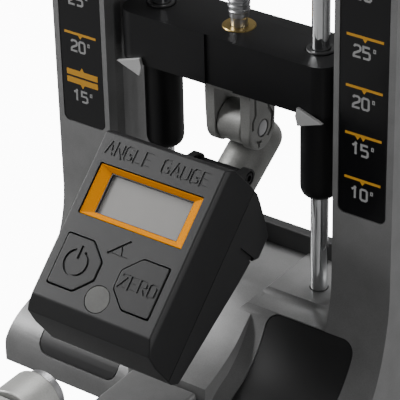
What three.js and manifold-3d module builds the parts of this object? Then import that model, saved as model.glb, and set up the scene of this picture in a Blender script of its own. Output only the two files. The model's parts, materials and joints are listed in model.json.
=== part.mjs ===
// Honing guide: a guided knife-sharpening tower with a digital angle indicator and a blade clamp.
// Millimetres. +Z is up, +Y runs from the blade clamp back to the tower, X = 0 is the plane of symmetry.
import * as THREE from "three";
import { mergeVertices } from "three/addons/utils/BufferGeometryUtils.js";
import Module from "manifold-3d";

const wasm = await Module();
wasm.setup();

// ---------- driving dimensions ----------
const HALF_WIDTH = 70.7; // outside face of an upright
const POST_INNER = 47.3; // inside face of an upright
const TOWER_DEPTH = 36; // front face of the uprights is y = 0
const TOWER_TOP = 202;
const CASTING_BASE = 3; // underside of the castings above the table
const LEDGE_Z = 48.5; // deck that the guide rods stand on
const FOOT_FRONT = -34;
const FOOT_FLARE = 4.5; // how far the toe of a foot spreads beyond its upright
const CENTRE_HALF = 19; // half width of the sloping centre floor
const MARK_15_Z = 124; // height of the 15 degree mark
const AXIS_Y = 14.3; // guide rods, adjusting screw and swivel stand in this plane
const ROD_X = 33.1;
const ROD_R = 3.175;
const RUN = 0.05; // radial running clearance
const BAR_HALF = 44; // crossbar
const BAR_FRONT = 1.5;
const BAR_BACK = 27;
const BAR_BOTTOM = MARK_15_Z + 0.2;
const BAR_TOP = MARK_15_Z + 19;
const SLEEVE_R = 6.9;
const SLEEVE_BOTTOM = MARK_15_Z - 37;
const BRIDGE_HEIGHT = 10;
const SCREW_R = 4;
const LOWEST_TRAVEL = 16.8; // crossbar travel from the 15 degree mark down to the 10 degree mark
const PIN_Z = MARK_15_Z - 18.2; // pitch pin
const ARM_DROOP = 34; // degrees below level at rest
const TUBE_R = 8.3;
const TUBE_BORE_R = 5;
const TUBE_DROP = 15.5; // tube axis below the pitch pin
const TUBE_REAR = 10;
const TUBE_FRONT = -74.5;
const FACE_TILT = 43.5; // degrees, indicator face
const FACE_Y = -51.7; // centre of the indicator face
const FACE_Z = MARK_15_Z - 30.1;
const FACE_HALF = 24.8;
const CASE_HALF = 25.6;
const FACE_TOP = 30.2; // along the face from its centre
const FACE_BOTTOM = -30.4;
const PARTING = -21; // where the indicator's two shells meet, below the face
const WALL = 2.2;
const FIT = 0.3; // gap between pieces inside a turned group
const BEAM_TOP = 23.5;
const BEAM_END = -132;
const CLAMP_Z = 57; // height of the blade plane
const CLAMP_POST_Y = -109;
const Y_SHIFT = 59; // puts the middle of the whole length at y = 0

// ---------- materials ----------
const finish = (color, roughness, metalness = 0) =>
  new THREE.MeshStandardMaterial({ color, roughness, metalness });
const CAST = finish(0x8b8c8e, 0.45, 0.7);
const CAST_DARK = finish(0x77787a, 0.5, 0.7);
const STEEL = finish(0xa9abad, 0.35, 0.9);
const CHROME = finish(0xe2e4e6, 0.08, 1);
const BRASS = finish(0xb89b5a, 0.35, 0.9);
const BLACK_METAL = finish(0x1c1b1d, 0.4, 0.2);
const BLACK_GLOSS = finish(0x121113, 0.15);
const BLACK_PLASTIC = finish(0x242426, 0.6);
const GREY_PLASTIC = finish(0x4a4a4b, 0.7);
const AMBER = finish(0xd99a05, 0.5);
const LCD_GREY = finish(0x8a8886, 0.4);
const BOARD_GREEN = finish(0x2c5a3a, 0.6);
const RUBBER = finish(0x151515, 0.9);

// ---------- shape helpers ----------
const outline = (points) => new THREE.Shape(points.map(([a, b]) => new THREE.Vector2(a, b)));
const extrude = (shape, depth) =>
  new THREE.ExtrudeGeometry(shape, { depth, bevelEnabled: false, curveSegments: 6 });

// outline in (x, y), standing from z0 to z1
const alongZ = (shape, z0, z1) => extrude(shape, z1 - z0).translate(0, 0, z0);

// outline in (y, z), running from x0 to x1
const turnToX = new THREE.Matrix4().makeBasis(
  new THREE.Vector3(0, 1, 0), new THREE.Vector3(0, 0, 1), new THREE.Vector3(1, 0, 0));
const alongX = (shape, x0, x1) => extrude(shape, x1 - x0).applyMatrix4(turnToX).translate(x0, 0, 0);

// outline in (x, z), running from y0 to y1
const turnToY = new THREE.Matrix4().makeBasis(
  new THREE.Vector3(1, 0, 0), new THREE.Vector3(0, 0, 1), new THREE.Vector3(0, -1, 0));
const alongY = (shape, y0, y1) => extrude(shape, y1 - y0).applyMatrix4(turnToY).translate(0, y1, 0);

function block(x0, x1, y0, y1, z0, z1) {
  const box = new THREE.BoxGeometry(x1 - x0, y1 - y0, z1 - z0);
  return box.translate((x0 + x1) / 2, (y0 + y1) / 2, (z0 + z1) / 2);
}

// a turned piece on the Z axis; the profile is [radius, height] pairs
const turned = (profile, sides = 24) =>
  new THREE.LatheGeometry(profile.map(([r, z]) => new THREE.Vector2(r, z)), sides).rotateX(Math.PI / 2);
const rodZ = (r, z0, z1, sides = 24) => turned([[0, z0], [r, z0], [r, z1], [0, z1]], sides);
const ringZ = (outer, inner, z0, z1, sides = 24) =>
  turned([[inner, z0], [outer, z0], [outer, z1], [inner, z1], [inner, z0]], sides);
const rodX = (r, x0, x1, sides = 24) => rodZ(r, x0, x1, sides).rotateY(Math.PI / 2);
const rodY = (r, y0, y1, sides = 24) => rodZ(r, -y1, -y0, sides).rotateX(Math.PI / 2);

function roundedRect(x0, x1, y0, y1, r) {
  const shape = new THREE.Shape();
  shape.moveTo(x0 + r, y0);
  shape.lineTo(x1 - r, y0);
  shape.absarc(x1 - r, y0 + r, r, -Math.PI / 2, 0);
  shape.absarc(x1 - r, y1 - r, r, 0, Math.PI / 2);
  shape.absarc(x0 + r, y1 - r, r, Math.PI / 2, Math.PI);
  shape.absarc(x0 + r, y0 + r, r, Math.PI, Math.PI * 1.5);
  return shape;
}

// ---------- booleans ----------
function solid(geometry) {
  const bare = new THREE.BufferGeometry();
  const source = geometry.index ? geometry.toNonIndexed() : geometry;
  bare.setAttribute("position", source.getAttribute("position"));
  const merged = mergeVertices(bare, 1e-4);
  return new wasm.Manifold(new wasm.Mesh({
    numProp: 3,
    vertProperties: merged.attributes.position.array,
    triVerts: new Uint32Array(merged.index.array),
  }));
}

function geometryOf(manifold) {
  const mesh = manifold.getMesh();
  const geometry = new THREE.BufferGeometry();
  geometry.setAttribute("position", new THREE.BufferAttribute(mesh.vertProperties, 3));
  geometry.setIndex(new THREE.BufferAttribute(mesh.triVerts, 1));
  const flat = geometry.toNonIndexed();
  flat.computeVertexNormals();
  return flat;
}

const join = (...pieces) => pieces.map(solid).reduce((a, b) => a.add(b));
const cut = (body, ...tools) => geometryOf(tools.map(solid).reduce((a, b) => a.subtract(b), body));
const carve = (geometry, ...tools) => cut(solid(geometry), ...tools);
const fuse = (...pieces) => geometryOf(join(...pieces));
const common = (...pieces) => pieces.map(solid).reduce((a, b) => a.intersect(b));
const mirrored = (geometry) => geometryOf(solid(geometry).mirror([1, 0, 0]));

const root = new THREE.Group();
root.position.y = Y_SHIFT;

function add(name, geometry, material, parent = root) {
  const mesh = new THREE.Mesh(geometry, material);
  mesh.name = name;
  parent.add(mesh);
  return mesh;
}

const bothSides = ([x, y, z]) => [[x, y, z], [-x, y, z]];

// ---------- tower casting ----------
// Front of an upright and its foot, swept forward in one cove: from (0, 64) down to (FOOT_FRONT, 8).
function coveLine(steps = 9) {
  const upper = new THREE.CubicBezierCurve(
    new THREE.Vector2(0, 64), new THREE.Vector2(-0.6, 46),
    new THREE.Vector2(-9, 28.5), new THREE.Vector2(-23, 22.8));
  const lower = new THREE.QuadraticBezierCurve(
    new THREE.Vector2(-23, 22.8), new THREE.Vector2(FOOT_FRONT, 18.6), new THREE.Vector2(FOOT_FRONT, 8));
  return [...upper.getPoints(steps), ...lower.getPoints(5).slice(1)];
}

const NOSE_Z = 43.5; // the cove starts below this height where there is a deck above it

function footOutline() {
  const cove = coveLine().filter((p) => p.y < NOSE_Z);
  const nose = new THREE.QuadraticBezierCurve(
    new THREE.Vector2(-4, NOSE_Z), new THREE.Vector2(-1.6, LEDGE_Z), new THREE.Vector2(4.5, LEDGE_Z));
  return new THREE.Shape([
    new THREE.Vector2(TOWER_DEPTH, CASTING_BASE), new THREE.Vector2(TOWER_DEPTH, LEDGE_Z),
    ...nose.getPoints(5).reverse(), ...cove, new THREE.Vector2(FOOT_FRONT, CASTING_BASE),
  ].reverse());
}

function uprightFootOutline() {
  return new THREE.Shape([
    new THREE.Vector2(TOWER_DEPTH, 66), new THREE.Vector2(0, 66), ...coveLine(),
    new THREE.Vector2(FOOT_FRONT, CASTING_BASE), new THREE.Vector2(TOWER_DEPTH, CASTING_BASE),
  ]);
}

// everything beyond the outer side of a foot, which spreads towards the table
function beyondFlare() {
  const line = new THREE.CubicBezierCurve(
    new THREE.Vector2(HALF_WIDTH, 60), new THREE.Vector2(HALF_WIDTH, 42),
    new THREE.Vector2(HALF_WIDTH + 0.6, 26), new THREE.Vector2(HALF_WIDTH + FOOT_FLARE, 12));
  const far = HALF_WIDTH + FOOT_FLARE + 5;
  return alongY(new THREE.Shape([
    new THREE.Vector2(HALF_WIDTH, 70), ...line.getPoints(7), new THREE.Vector2(HALF_WIDTH + FOOT_FLARE, 0),
    new THREE.Vector2(far, 0), new THREE.Vector2(far, 70),
  ]), FOOT_FRONT - 5, TOWER_DEPTH + 5);
}

const centreFloor = outline([
  [TOWER_DEPTH, CASTING_BASE], [TOWER_DEPTH, 49.5], [31, 49.5], [4, 47.5], [-4, 43.5], [-12, 36],
  [-23, 30], [FOOT_FRONT, 26], [FOOT_FRONT, CASTING_BASE],
]);

// plan of the right upright: a channel, open at the back, with a slanted rib on its inner side
function uprightPlan() {
  const shape = new THREE.Shape();
  shape.moveTo(POST_INNER + 1, 0);
  shape.lineTo(HALF_WIDTH - 1.8, 0);
  shape.absarc(HALF_WIDTH - 1.8, 1.8, 1.8, -Math.PI / 2, 0);
  shape.lineTo(HALF_WIDTH, TOWER_DEPTH);
  shape.lineTo(HALF_WIDTH - 3.5, TOWER_DEPTH);
  shape.lineTo(HALF_WIDTH - 3.5, 6.5);
  shape.lineTo(POST_INNER + 5, 6.5);
  shape.lineTo(POST_INNER + 5, TOWER_DEPTH);
  shape.lineTo(POST_INNER + 1, TOWER_DEPTH);
  shape.lineTo(POST_INNER + 1, 12);
  shape.lineTo(POST_INNER, 12);
  shape.lineTo(POST_INNER, 9);
  shape.lineTo(POST_INNER + 2, 5.2);
  shape.lineTo(POST_INNER + 2, 4.7);
  shape.lineTo(POST_INNER, 4.7);
  shape.lineTo(POST_INNER, 1);
  return shape;
}

// the recess for the scale plate in the front of an upright, and the plate that fills it
const SCALE_X0 = 49.6;
const SCALE_X1 = 67.9;
const SCALE_BOTTOM = MARK_15_Z - 31;
const SCALE_TOP = MARK_15_Z + 71;
const SCALE_DEPTH = 1.2;
const scalePlate = (grow, y0, y1) => alongY(
  roundedRect(SCALE_X0 - grow, SCALE_X1 + grow, SCALE_BOTTOM - grow, SCALE_TOP + grow, 2.5), y0, y1);

// the black insert in the front of a foot: a slab bent to the cove
const INSERT_X0 = 24;
const INSERT_X1 = 59.5;
const INSERT_TOP = 44.5;
const INSERT_BOTTOM = 12;
function insertSlab(depth0, depth1) {
  const line = coveLine().filter((p) => p.y < INSERT_TOP + 4 && p.y > INSERT_BOTTOM - 5);
  const outer = line.map((p) => new THREE.Vector2(p.x + depth0, p.y + depth0 * 0.4));
  const inner = line.map((p) => new THREE.Vector2(p.x + depth1, p.y + depth1 * 0.4)).reverse();
  return alongX(new THREE.Shape([...outer, ...inner].reverse()), INSERT_X0 - 2, INSERT_X1 + 2);
}
const insertWindow = (grow) => alongY(
  roundedRect(INSERT_X0 - grow, INSERT_X1 + grow, INSERT_BOTTOM - grow, INSERT_TOP + grow, 5), -60, 10);

const footCavity = alongX(outline([
  [31, 2], [31, 42.5], [1, 42.5], [-2, 33], [-12, 21], [-26, 13], [-29, 9], [-29, 2],
]), INSERT_X0, HALF_WIDTH - 4);

const RIB_FILLET = 6;
function innerFillet() {
  const shape = new THREE.Shape();
  shape.moveTo(POST_INNER + 1.5, LEDGE_Z - 1);
  shape.lineTo(POST_INNER + 1.5, LEDGE_Z + RIB_FILLET);
  shape.lineTo(POST_INNER, LEDGE_Z + RIB_FILLET);
  shape.absarc(POST_INNER - RIB_FILLET, LEDGE_Z + RIB_FILLET, RIB_FILLET, 0, -Math.PI / 2, true);
  shape.lineTo(POST_INNER - RIB_FILLET, LEDGE_Z - 1);
  return alongY(shape, 2.5, TOWER_DEPTH);
}

const BRIDGE_SCREWS = [[50.3, 18], [-50.3, 18]];
const RAIL_FRONT = 31;
const RAIL_TOP = 55.7;
const BEAM_SLOT = 14;

function towerCasting() {
  const half = join(
    alongX(footOutline(), CENTRE_HALF - 1, POST_INNER + 2),
    carve(alongX(uprightFootOutline(), POST_INNER, HALF_WIDTH + FOOT_FLARE), beyondFlare()),
    alongZ(uprightPlan(), 60, TOWER_TOP),
    innerFillet(),
    rodZ(8, CASTING_BASE, 43).translate(ROD_X, AXIS_Y, 0),
  );
  const hollow = solid(footCavity).subtract(solid(rodZ(8, 0, 50).translate(ROD_X, AXIS_Y, 0)));
  const trimmed = half
    .subtract(hollow)
    .subtract(solid(scalePlate(0.15, -1, SCALE_DEPTH)))
    .subtract(solid(rodZ(ROD_R, 36, 60).translate(ROD_X, AXIS_Y, 0)))
    .subtract(solid(insertSlab(-3, 2)).intersect(solid(insertWindow(0.15))));
  const side = geometryOf(trimmed);
  return cut(
    join(
      side, mirrored(side), alongX(centreFloor, -CENTRE_HALF, CENTRE_HALF),
      block(-POST_INNER - 2, POST_INNER + 2, RAIL_FRONT, TOWER_DEPTH - 0.5, LEDGE_Z - 2, RAIL_TOP),
    ),
    block(-BEAM_SLOT, BEAM_SLOT, FOOT_FRONT - 6, 30, 0, 20.1),
    ...BRIDGE_SCREWS.map(([x, y]) => rodZ(1.5, TOWER_TOP - 8, TOWER_TOP + 1, 16).translate(x, y, 0)),
  );
}

add("tower_casting", towerCasting(), CAST);

const scaleRight = scalePlate(0, 0.15, SCALE_DEPTH);
add("scale_plate_right", scaleRight, BLACK_GLOSS);
add("scale_plate_left", mirrored(scaleRight), BLACK_GLOSS);
const insertRight = geometryOf(common(insertSlab(0.3, 1.9), insertWindow(0)));
add("foot_insert_right", insertRight, BLACK_PLASTIC);
add("foot_insert_left", mirrored(insertRight), BLACK_PLASTIC);

// ---------- underside ----------
const PLATE_Z = 1.6;
const FOOT_PLACES = [
  ["front_right", 59, -22], ["front_left", -59, -22], ["rear_right", 59, 24], ["rear_left", -59, 24],
];
add("base_plate", alongZ(roundedRect(-67, 67, -31, 33, 4), PLATE_Z, CASTING_BASE), STEEL);
for (const [name, x, y] of FOOT_PLACES) {
  add("foot_" + name, rodZ(7, 0, PLATE_Z).translate(x, y, 0), RUBBER);
}

// ---------- top bridge ----------
const BRIDGE_TOP = TOWER_TOP + BRIDGE_HEIGHT;
const NUT_R = 9;
add("top_bridge", carve(
  alongZ(roundedRect(-HALF_WIDTH, HALF_WIDTH, 0, TOWER_DEPTH, 2), TOWER_TOP, BRIDGE_TOP),
  rodZ(NUT_R + 0.02, TOWER_TOP - 1, BRIDGE_TOP + 1).translate(0, AXIS_Y, 0),
  ...bothSides([ROD_X, AXIS_Y, 0]).map(([x, y]) => rodZ(ROD_R, TOWER_TOP - 1, BRIDGE_TOP - 3).translate(x, y, 0)),
  ...BRIDGE_SCREWS.map(([x, y]) => rodZ(1.5, TOWER_TOP - 1, BRIDGE_TOP + 1, 16).translate(x, y, 0)),
), CAST_DARK);
add("bridge_nut", ringZ(NUT_R, SCREW_R + RUN, TOWER_TOP, BRIDGE_TOP).translate(0, AXIS_Y, 0), BRASS);
const capScrew = (r, headR, length, headHeight) =>
  turned([[0, -length], [r, -length], [r, 0], [headR, 0], [headR, headHeight], [0, headHeight]], 16);
BRIDGE_SCREWS.forEach(([x, y], i) => {
  add("bridge_screw_" + (i + 1), capScrew(1.5, 2.8, BRIDGE_HEIGHT + 7, 2.2).translate(x, y, BRIDGE_TOP), STEEL);
});
for (const [name, side] of [["guide_rod_right", 1], ["guide_rod_left", -1]]) {
  add(name, rodZ(ROD_R, 36, BRIDGE_TOP - 3).translate(side * ROD_X, AXIS_Y, 0), CHROME);
}

// ---------- crossbar ----------
const SOCKET_R = 6;
const BUSH_R = 5;
const SLEEVE_BORE = ROD_R + RUN + 0.05;
const crossbarBody = carve(
  alongZ(roundedRect(-BAR_HALF, BAR_HALF, BAR_FRONT, BAR_BACK, 7), BAR_BOTTOM, BAR_TOP),
  block(-5.75, 5.75, 0, BAR_FRONT + 0.8, BAR_BOTTOM - 1, BAR_TOP + 1),
  rodZ(SOCKET_R, BAR_BOTTOM + 8, BAR_TOP + 1).translate(0, AXIS_Y, 0),
  rodZ(3 + RUN, BAR_BOTTOM - 1, BAR_BOTTOM + 9).translate(0, AXIS_Y, 0),
  ...bothSides([ROD_X, AXIS_Y, 0]).map(([x, y]) => rodZ(BUSH_R, BAR_BOTTOM - 1, BAR_TOP + 1).translate(x, y, 0)),
);
add("crossbar", crossbarBody, BLACK_METAL);
for (const [side, x] of [["right", ROD_X], ["left", -ROD_X]]) {
  add("slide_bush_" + side, ringZ(BUSH_R, ROD_R + RUN, BAR_BOTTOM, BAR_TOP + 0.6).translate(x, AXIS_Y, 0),
    BLACK_PLASTIC);
  const sleeve = turned([
    [SLEEVE_BORE, SLEEVE_BOTTOM], [SLEEVE_R - 2.7, SLEEVE_BOTTOM + 0.3], [SLEEVE_R - 1.2, SLEEVE_BOTTOM + 1.6],
    [SLEEVE_R - 0.3, SLEEVE_BOTTOM + 2.9], [SLEEVE_R, SLEEVE_BOTTOM + 4.4], [SLEEVE_R, BAR_BOTTOM - 0.1],
    [SLEEVE_BORE, BAR_BOTTOM - 0.1], [SLEEVE_BORE, SLEEVE_BOTTOM],
  ]);
  add("rod_sleeve_" + side, sleeve.translate(x, AXIS_Y, 0), BLACK_METAL);
}
const pointer = alongY(outline([
  [33, MARK_15_Z - 3.9], [42.9, MARK_15_Z - 0.4], [32.8, MARK_15_Z + 3], [32, MARK_15_Z - 0.2],
]), 0, 1.4);
add("pointer_right", pointer, STEEL);
add("pointer_left", mirrored(pointer), STEEL);
add("thrust_bush", ringZ(SOCKET_R - 0.02, 3 + RUN, BAR_TOP - 6, BAR_TOP + 0.4).translate(0, AXIS_Y, 0), BRASS);

// ---------- adjusting screw and knob ----------
const KNOB_BOTTOM = BRIDGE_TOP + LOWEST_TRAVEL + 1.5;
const KNOB_HEIGHT = 14;
const KNOB_R = 15;
add("adjusting_screw", turned([
  [0, BAR_TOP - 9], [5, BAR_TOP - 9], [5, BAR_TOP - 6.4], [3, BAR_TOP - 6.2], [3, BAR_TOP + 3],
  [SCREW_R, BAR_TOP + 4], [SCREW_R, KNOB_BOTTOM + 9], [0, KNOB_BOTTOM + 9],
]).translate(0, AXIS_Y, 0), STEEL);
function knobOutline(radius, flute) {
  const shape = new THREE.Shape();
  const lobes = 12;
  for (let i = 0; i < lobes * 4; i += 1) {
    const angle = (i / (lobes * 4)) * Math.PI * 2;
    const r = radius - [flute, flute * 0.3, 0, flute * 0.3][i % 4];
    shape[i ? "lineTo" : "moveTo"](r * Math.cos(angle), r * Math.sin(angle));
  }
  return shape;
}
add("adjusting_knob", carve(
  alongZ(knobOutline(KNOB_R, 1.6), KNOB_BOTTOM, KNOB_BOTTOM + KNOB_HEIGHT).translate(0, AXIS_Y, 0),
  rodZ(SCREW_R, KNOB_BOTTOM - 1, KNOB_BOTTOM + 9).translate(0, AXIS_Y, 0),
  rodZ(9, KNOB_BOTTOM + KNOB_HEIGHT - 1.2, KNOB_BOTTOM + KNOB_HEIGHT + 1).translate(0, AXIS_Y, 0),
), BLACK_PLASTIC);
add("knob_cap", rodZ(9 - RUN, KNOB_BOTTOM + KNOB_HEIGHT - 1.2, KNOB_BOTTOM + KNOB_HEIGHT + 0.4)
  .translate(0, AXIS_Y, 0), AMBER);

// ---------- swivelling clevis ----------
const EAR_HALF = 9.5;
const EAR_THICK = 4;
const EAR_FRONT = 6.4;
const EAR_BACK = 22.2;
const CLEVIS_TOP = BAR_BOTTOM - 0.1;
const PIN_R = 3;
function earOutline() {
  const shape = new THREE.Shape();
  const r = (EAR_BACK - EAR_FRONT) / 2;
  const bottom = MARK_15_Z - 26.6 + r;
  shape.moveTo(EAR_BACK, bottom);
  shape.lineTo(EAR_BACK, CLEVIS_TOP);
  shape.lineTo(EAR_FRONT, CLEVIS_TOP);
  shape.lineTo(EAR_FRONT, bottom);
  shape.absarc(EAR_FRONT + r, bottom, r, Math.PI, Math.PI * 2);
  return shape;
}
const EAR_INNER = EAR_HALF - EAR_THICK;
const clevisBody = cut(
  join(
    alongX(earOutline(), EAR_INNER, EAR_HALF),
    alongX(earOutline(), -EAR_HALF, -EAR_INNER),
    block(-EAR_INNER - 1, EAR_INNER + 1, EAR_FRONT, EAR_BACK, CLEVIS_TOP - 3.5, CLEVIS_TOP),
  ),
  rodX(PIN_R + RUN, -EAR_HALF - 1, EAR_HALF + 1).translate(0, AXIS_Y, PIN_Z),
  rodZ(3, CLEVIS_TOP - 5, CLEVIS_TOP + 1).translate(0, AXIS_Y, 0),
);
add("clevis", clevisBody, CAST_DARK);
add("swivel_pin", turned([
  [0, CLEVIS_TOP - 3.5], [3, CLEVIS_TOP - 3.5], [3, BAR_BOTTOM + 8.3], [4.6, BAR_BOTTOM + 8.3],
  [4.6, BAR_BOTTOM + 9.6], [0, BAR_BOTTOM + 9.6],
]).translate(0, AXIS_Y, 0), STEEL);
add("pitch_pin", rodX(PIN_R, -EAR_HALF, EAR_HALF).translate(0, AXIS_Y, PIN_Z), STEEL);

// ---------- guide tube ----------
const arm = new THREE.Group();
arm.position.set(0, AXIS_Y, PIN_Z);
arm.rotation.x = THREE.MathUtils.degToRad(ARM_DROOP);
root.add(arm);
const BARREL_R = 7.5;
const BARREL_HALF = EAR_INNER - 0.3;
const END_ROUND = 4;
const tubeProfile = [
  [0, -TUBE_FRONT], [TUBE_R, -TUBE_FRONT], [TUBE_R, -TUBE_REAR + END_ROUND],
  [TUBE_R - 1.2, -TUBE_REAR + 1.2], [TUBE_R - END_ROUND, -TUBE_REAR], [0, -TUBE_REAR],
].reverse();
const tubeSolid = turned(tubeProfile).rotateX(Math.PI / 2).translate(0, 0, -TUBE_DROP);
add("guide_tube", cut(
  join(
    tubeSolid,
    rodX(BARREL_R, -BARREL_HALF, BARREL_HALF),
    block(-BARREL_HALF, BARREL_HALF, -5.5, 5.5, -TUBE_DROP + 3, 0),
  ),
  rodX(PIN_R + RUN, -20, 20),
  rodY(TUBE_BORE_R, TUBE_FRONT - 1, TUBE_REAR + 1).translate(0, 0, -TUBE_DROP),
), CAST_DARK, arm);
const LINER_R = TUBE_BORE_R - FIT;
const LINER_BORE = 3.4;
for (const [name, y0, y1] of [
  ["rear_liner", TUBE_REAR - 16, TUBE_REAR - 1],
  ["front_liner", TUBE_FRONT + 1, TUBE_FRONT + 16],
]) {
  add(name, ringZ(LINER_R, LINER_BORE, -y1, -y0, 24).rotateX(Math.PI / 2).translate(0, 0, -TUBE_DROP),
    BLACK_PLASTIC, arm);
}

// ---------- digital indicator ----------
// Group axes: x across the face, y up the face, z straight out of it; the origin is the face's centre.
const unit = new THREE.Group();
unit.position.set(0, FACE_Y, FACE_Z);
unit.rotation.x = THREE.MathUtils.degToRad(FACE_TILT);
root.add(unit);
const caseSide = outline([
  [FACE_TOP, 0], [32.2, -5], [31.7, -16.5], [31, -24.5], [29.4, -28.5], [25.8, -36], [22.5, -42],
  [20.6, -45.2], [18.5, -46], [14.3, -44.5], [11.6, -41], [10.8, -39.2], [1.7, -37.6], [-16.5, -33.2],
  [-38.4, -28], [-39.8, -24], [-38, -10], [-36, -3], [FACE_BOTTOM, 0],
].reverse());
const caseSection = outline([
  [FACE_HALF, 0], [CASE_HALF, -2], [CASE_HALF, -43], [CASE_HALF - 3, -48],
  [-CASE_HALF + 3, -48], [-CASE_HALF, -43], [-CASE_HALF, -2], [-FACE_HALF, 0],
].reverse());
const caseSolid = common(alongX(caseSide, -30, 30), alongY(caseSection, -60, 60));
const caseCavity = geometryOf(common(
  alongX(outline([
    [28.4, -WALL], [29.3, -8], [28.6, -17], [28, -24], [26, -28], [2, -28], [-20, -26.5], [-36.8, -23.5],
    [-35.4, -10], [-33.6, -5], [-29, -WALL],
  ].reverse()), -FACE_HALF + WALL, FACE_HALF - WALL),
  block(-40, 40, -60, 60, -40, 0),
));
// the tube's axis seen from the indicator: 9.5 degrees off parallel
const TUBE_TURN = THREE.MathUtils.degToRad(ARM_DROOP - FACE_TILT);
const armInUnit = new THREE.Vector3(0, AXIS_Y - FACE_Y, PIN_Z - FACE_Z)
  .applyAxisAngle(new THREE.Vector3(1, 0, 0), -unit.rotation.x);
const inArmFrame = (geometry) => geometry.rotateX(TUBE_TURN).translate(0, armInUnit.y, armInUnit.z);
const tubeClearance = inArmFrame(rodY(TUBE_R + FIT, TUBE_FRONT - 40, TUBE_REAR + 20).translate(0, 0, -TUBE_DROP));
const barrelClearance = inArmFrame(block(-EAR_HALF - 1, EAR_HALF + 1, -9, 40, -TUBE_DROP, 40));

const WINDOW = { x0: -21.2, x1: 21.2, y0: 0.8, y1: 19.2 };
const OPENING = { x0: -16, x1: 18, y0: 2.2, y1: 16.9 };
const BUTTON = [[10.3, -6.8], [21, -6.8], [21, -25], [10.3, -25], [4.2, -19.2], [4.2, -12.6]];
const buttonCentre = { x: 12.8, y: -15.9 };
const buttonShape = (grow) => outline(BUTTON.map(([x, y]) => [
  buttonCentre.x + (x - buttonCentre.x) * (1 + grow / 8.4),
  buttonCentre.y + (y - buttonCentre.y) * (1 + grow / 9.1),
]).reverse());
const DISC = { y: -24.6, r: 4.7 };
const buttonHole = (grow, z0, z1) => alongZ(buttonShape(grow), z0, z1);

const frontShell = cut(
  caseSolid.intersect(solid(block(-40, 40, -60, 60, PARTING, 1))),
  caseCavity,
  block(WINDOW.x0 - FIT, WINDOW.x1 + FIT, WINDOW.y0 - FIT, WINDOW.y1 + FIT, -WALL - 1, 1),
  buttonHole(FIT, -WALL - 1, 1),
  mirrored(buttonHole(FIT, -WALL - 1, 1)),
  rodZ(DISC.r + FIT, -1.2, 1).translate(0, DISC.y, 0),
);
add("indicator_front_shell", frontShell, GREY_PLASTIC, unit);
const HOOK = { y: 37.8, z: -38.2, r: 2.2, half: 12 };
const hookLug = (x0, x1) => alongX(outline([
  [25, -27], [27, -33], [35.4, -40.4], [37.8, -41.3], [40.2, -40.4], [41, -38.2], [40.5, -36.2], [30.2, -25],
]), x0, x1);
add("indicator_rear_shell", cut(
  caseSolid.intersect(solid(block(-40, 40, -60, 60, -60, PARTING - FIT)))
    .add(solid(hookLug(9.2, HOOK.half))).add(solid(hookLug(-HOOK.half, -9.2))),
  rodX(HOOK.r + FIT, -20, 20, 24).translate(0, HOOK.y, HOOK.z),
  caseCavity, tubeClearance, barrelClearance,
  block(CASE_HALF - 3, 40, 10.6, 12.4, -41, -30),
  block(-40, -CASE_HALF + 3, 10.6, 12.4, -41, -30),
), BLACK_PLASTIC, unit);
add("hook_pin", rodX(HOOK.r, -HOOK.half, HOOK.half, 24).translate(0, HOOK.y, HOOK.z), BLACK_METAL, unit);
add("lcd_bezel", carve(
  block(WINDOW.x0, WINDOW.x1, WINDOW.y0, WINDOW.y1, -2.6, -0.6),
  block(OPENING.x0, OPENING.x1, OPENING.y0, OPENING.y1, -4, 1),
), AMBER, unit);
add("lcd_panel", block(-20, 20, 1.6, 18.4, -4.6, -3.2), LCD_GREY, unit);
add("circuit_board", block(-20.5, 20.5, -28, 26, -10.2, -8.6), BOARD_GREEN, unit);
add("coin_cell", rodZ(10, -14.2, -11, 32).translate(0, -14, 0), STEEL, unit);
add("cell_holder", ringZ(12, 10.3, -13.6, -10.5, 32).translate(0, -14, 0), BLACK_PLASTIC, unit);
add("tilt_sensor", block(-6, 6, 8, 18, -12.5, -10.5), BLACK_PLASTIC, unit);
add("face_disc", rodZ(DISC.r, -0.9, -0.1, 32).translate(0, DISC.y, 0), STEEL, unit);
const buttonBody = fuse(
  buttonHole(-0.05, -2.6, -0.2),
  buttonHole(1.1, -3.4, -WALL - FIT),
  rodZ(2.5, -7.6, -3, 24).translate(buttonCentre.x, buttonCentre.y, 0),
);
add("zero_button", buttonBody, BLACK_PLASTIC, unit);
add("power_button", mirrored(buttonBody), BLACK_PLASTIC, unit);

// ---------- forward beam and blade clamp ----------
const BEAM_HALF = 13.9;
const FRONT_FOOT = { x: 34, y: -120, half: 42 };
const POST_SCREWS = [[0, -113.2], [0, -104.8]];
add("forward_beam", cut(
  join(
    alongX(outline([
      [29.5, CASTING_BASE], [29.5, 20], [FOOT_FRONT - 0.4, 20], [FOOT_FRONT - 0.4, BEAM_TOP],
      [BEAM_END + 3, BEAM_TOP], [BEAM_END + 0.8, BEAM_TOP - 1.2], [BEAM_END, BEAM_TOP - 3.5],
      [BEAM_END, CASTING_BASE],
    ]), -BEAM_HALF, BEAM_HALF),
    alongZ(roundedRect(-FRONT_FOOT.half, FRONT_FOOT.half, BEAM_END, -108, 6), CASTING_BASE, 12),
  ),
  ...POST_SCREWS.map(([x, y]) => rodZ(2, 0, BEAM_TOP + 1, 16).translate(x, y, 0)),
  ...POST_SCREWS.map(([x, y]) => rodZ(4, 0, 8, 16).translate(x, y, 0)),
), CAST);
for (const [name, side] of [["nose_right", 1], ["nose_left", -1]]) {
  add("foot_" + name, rodZ(7, 0, CASTING_BASE).translate(side * FRONT_FOOT.x, FRONT_FOOT.y, 0), RUBBER);
}
POST_SCREWS.forEach(([x, y], i) => {
  add("post_screw_" + (i + 1), turned([
    [0, 4], [3.6, 4], [3.6, 8], [2, 8], [2, BEAM_TOP + 9], [0, BEAM_TOP + 9],
  ], 16).translate(x, y, 0), STEEL);
});

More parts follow.
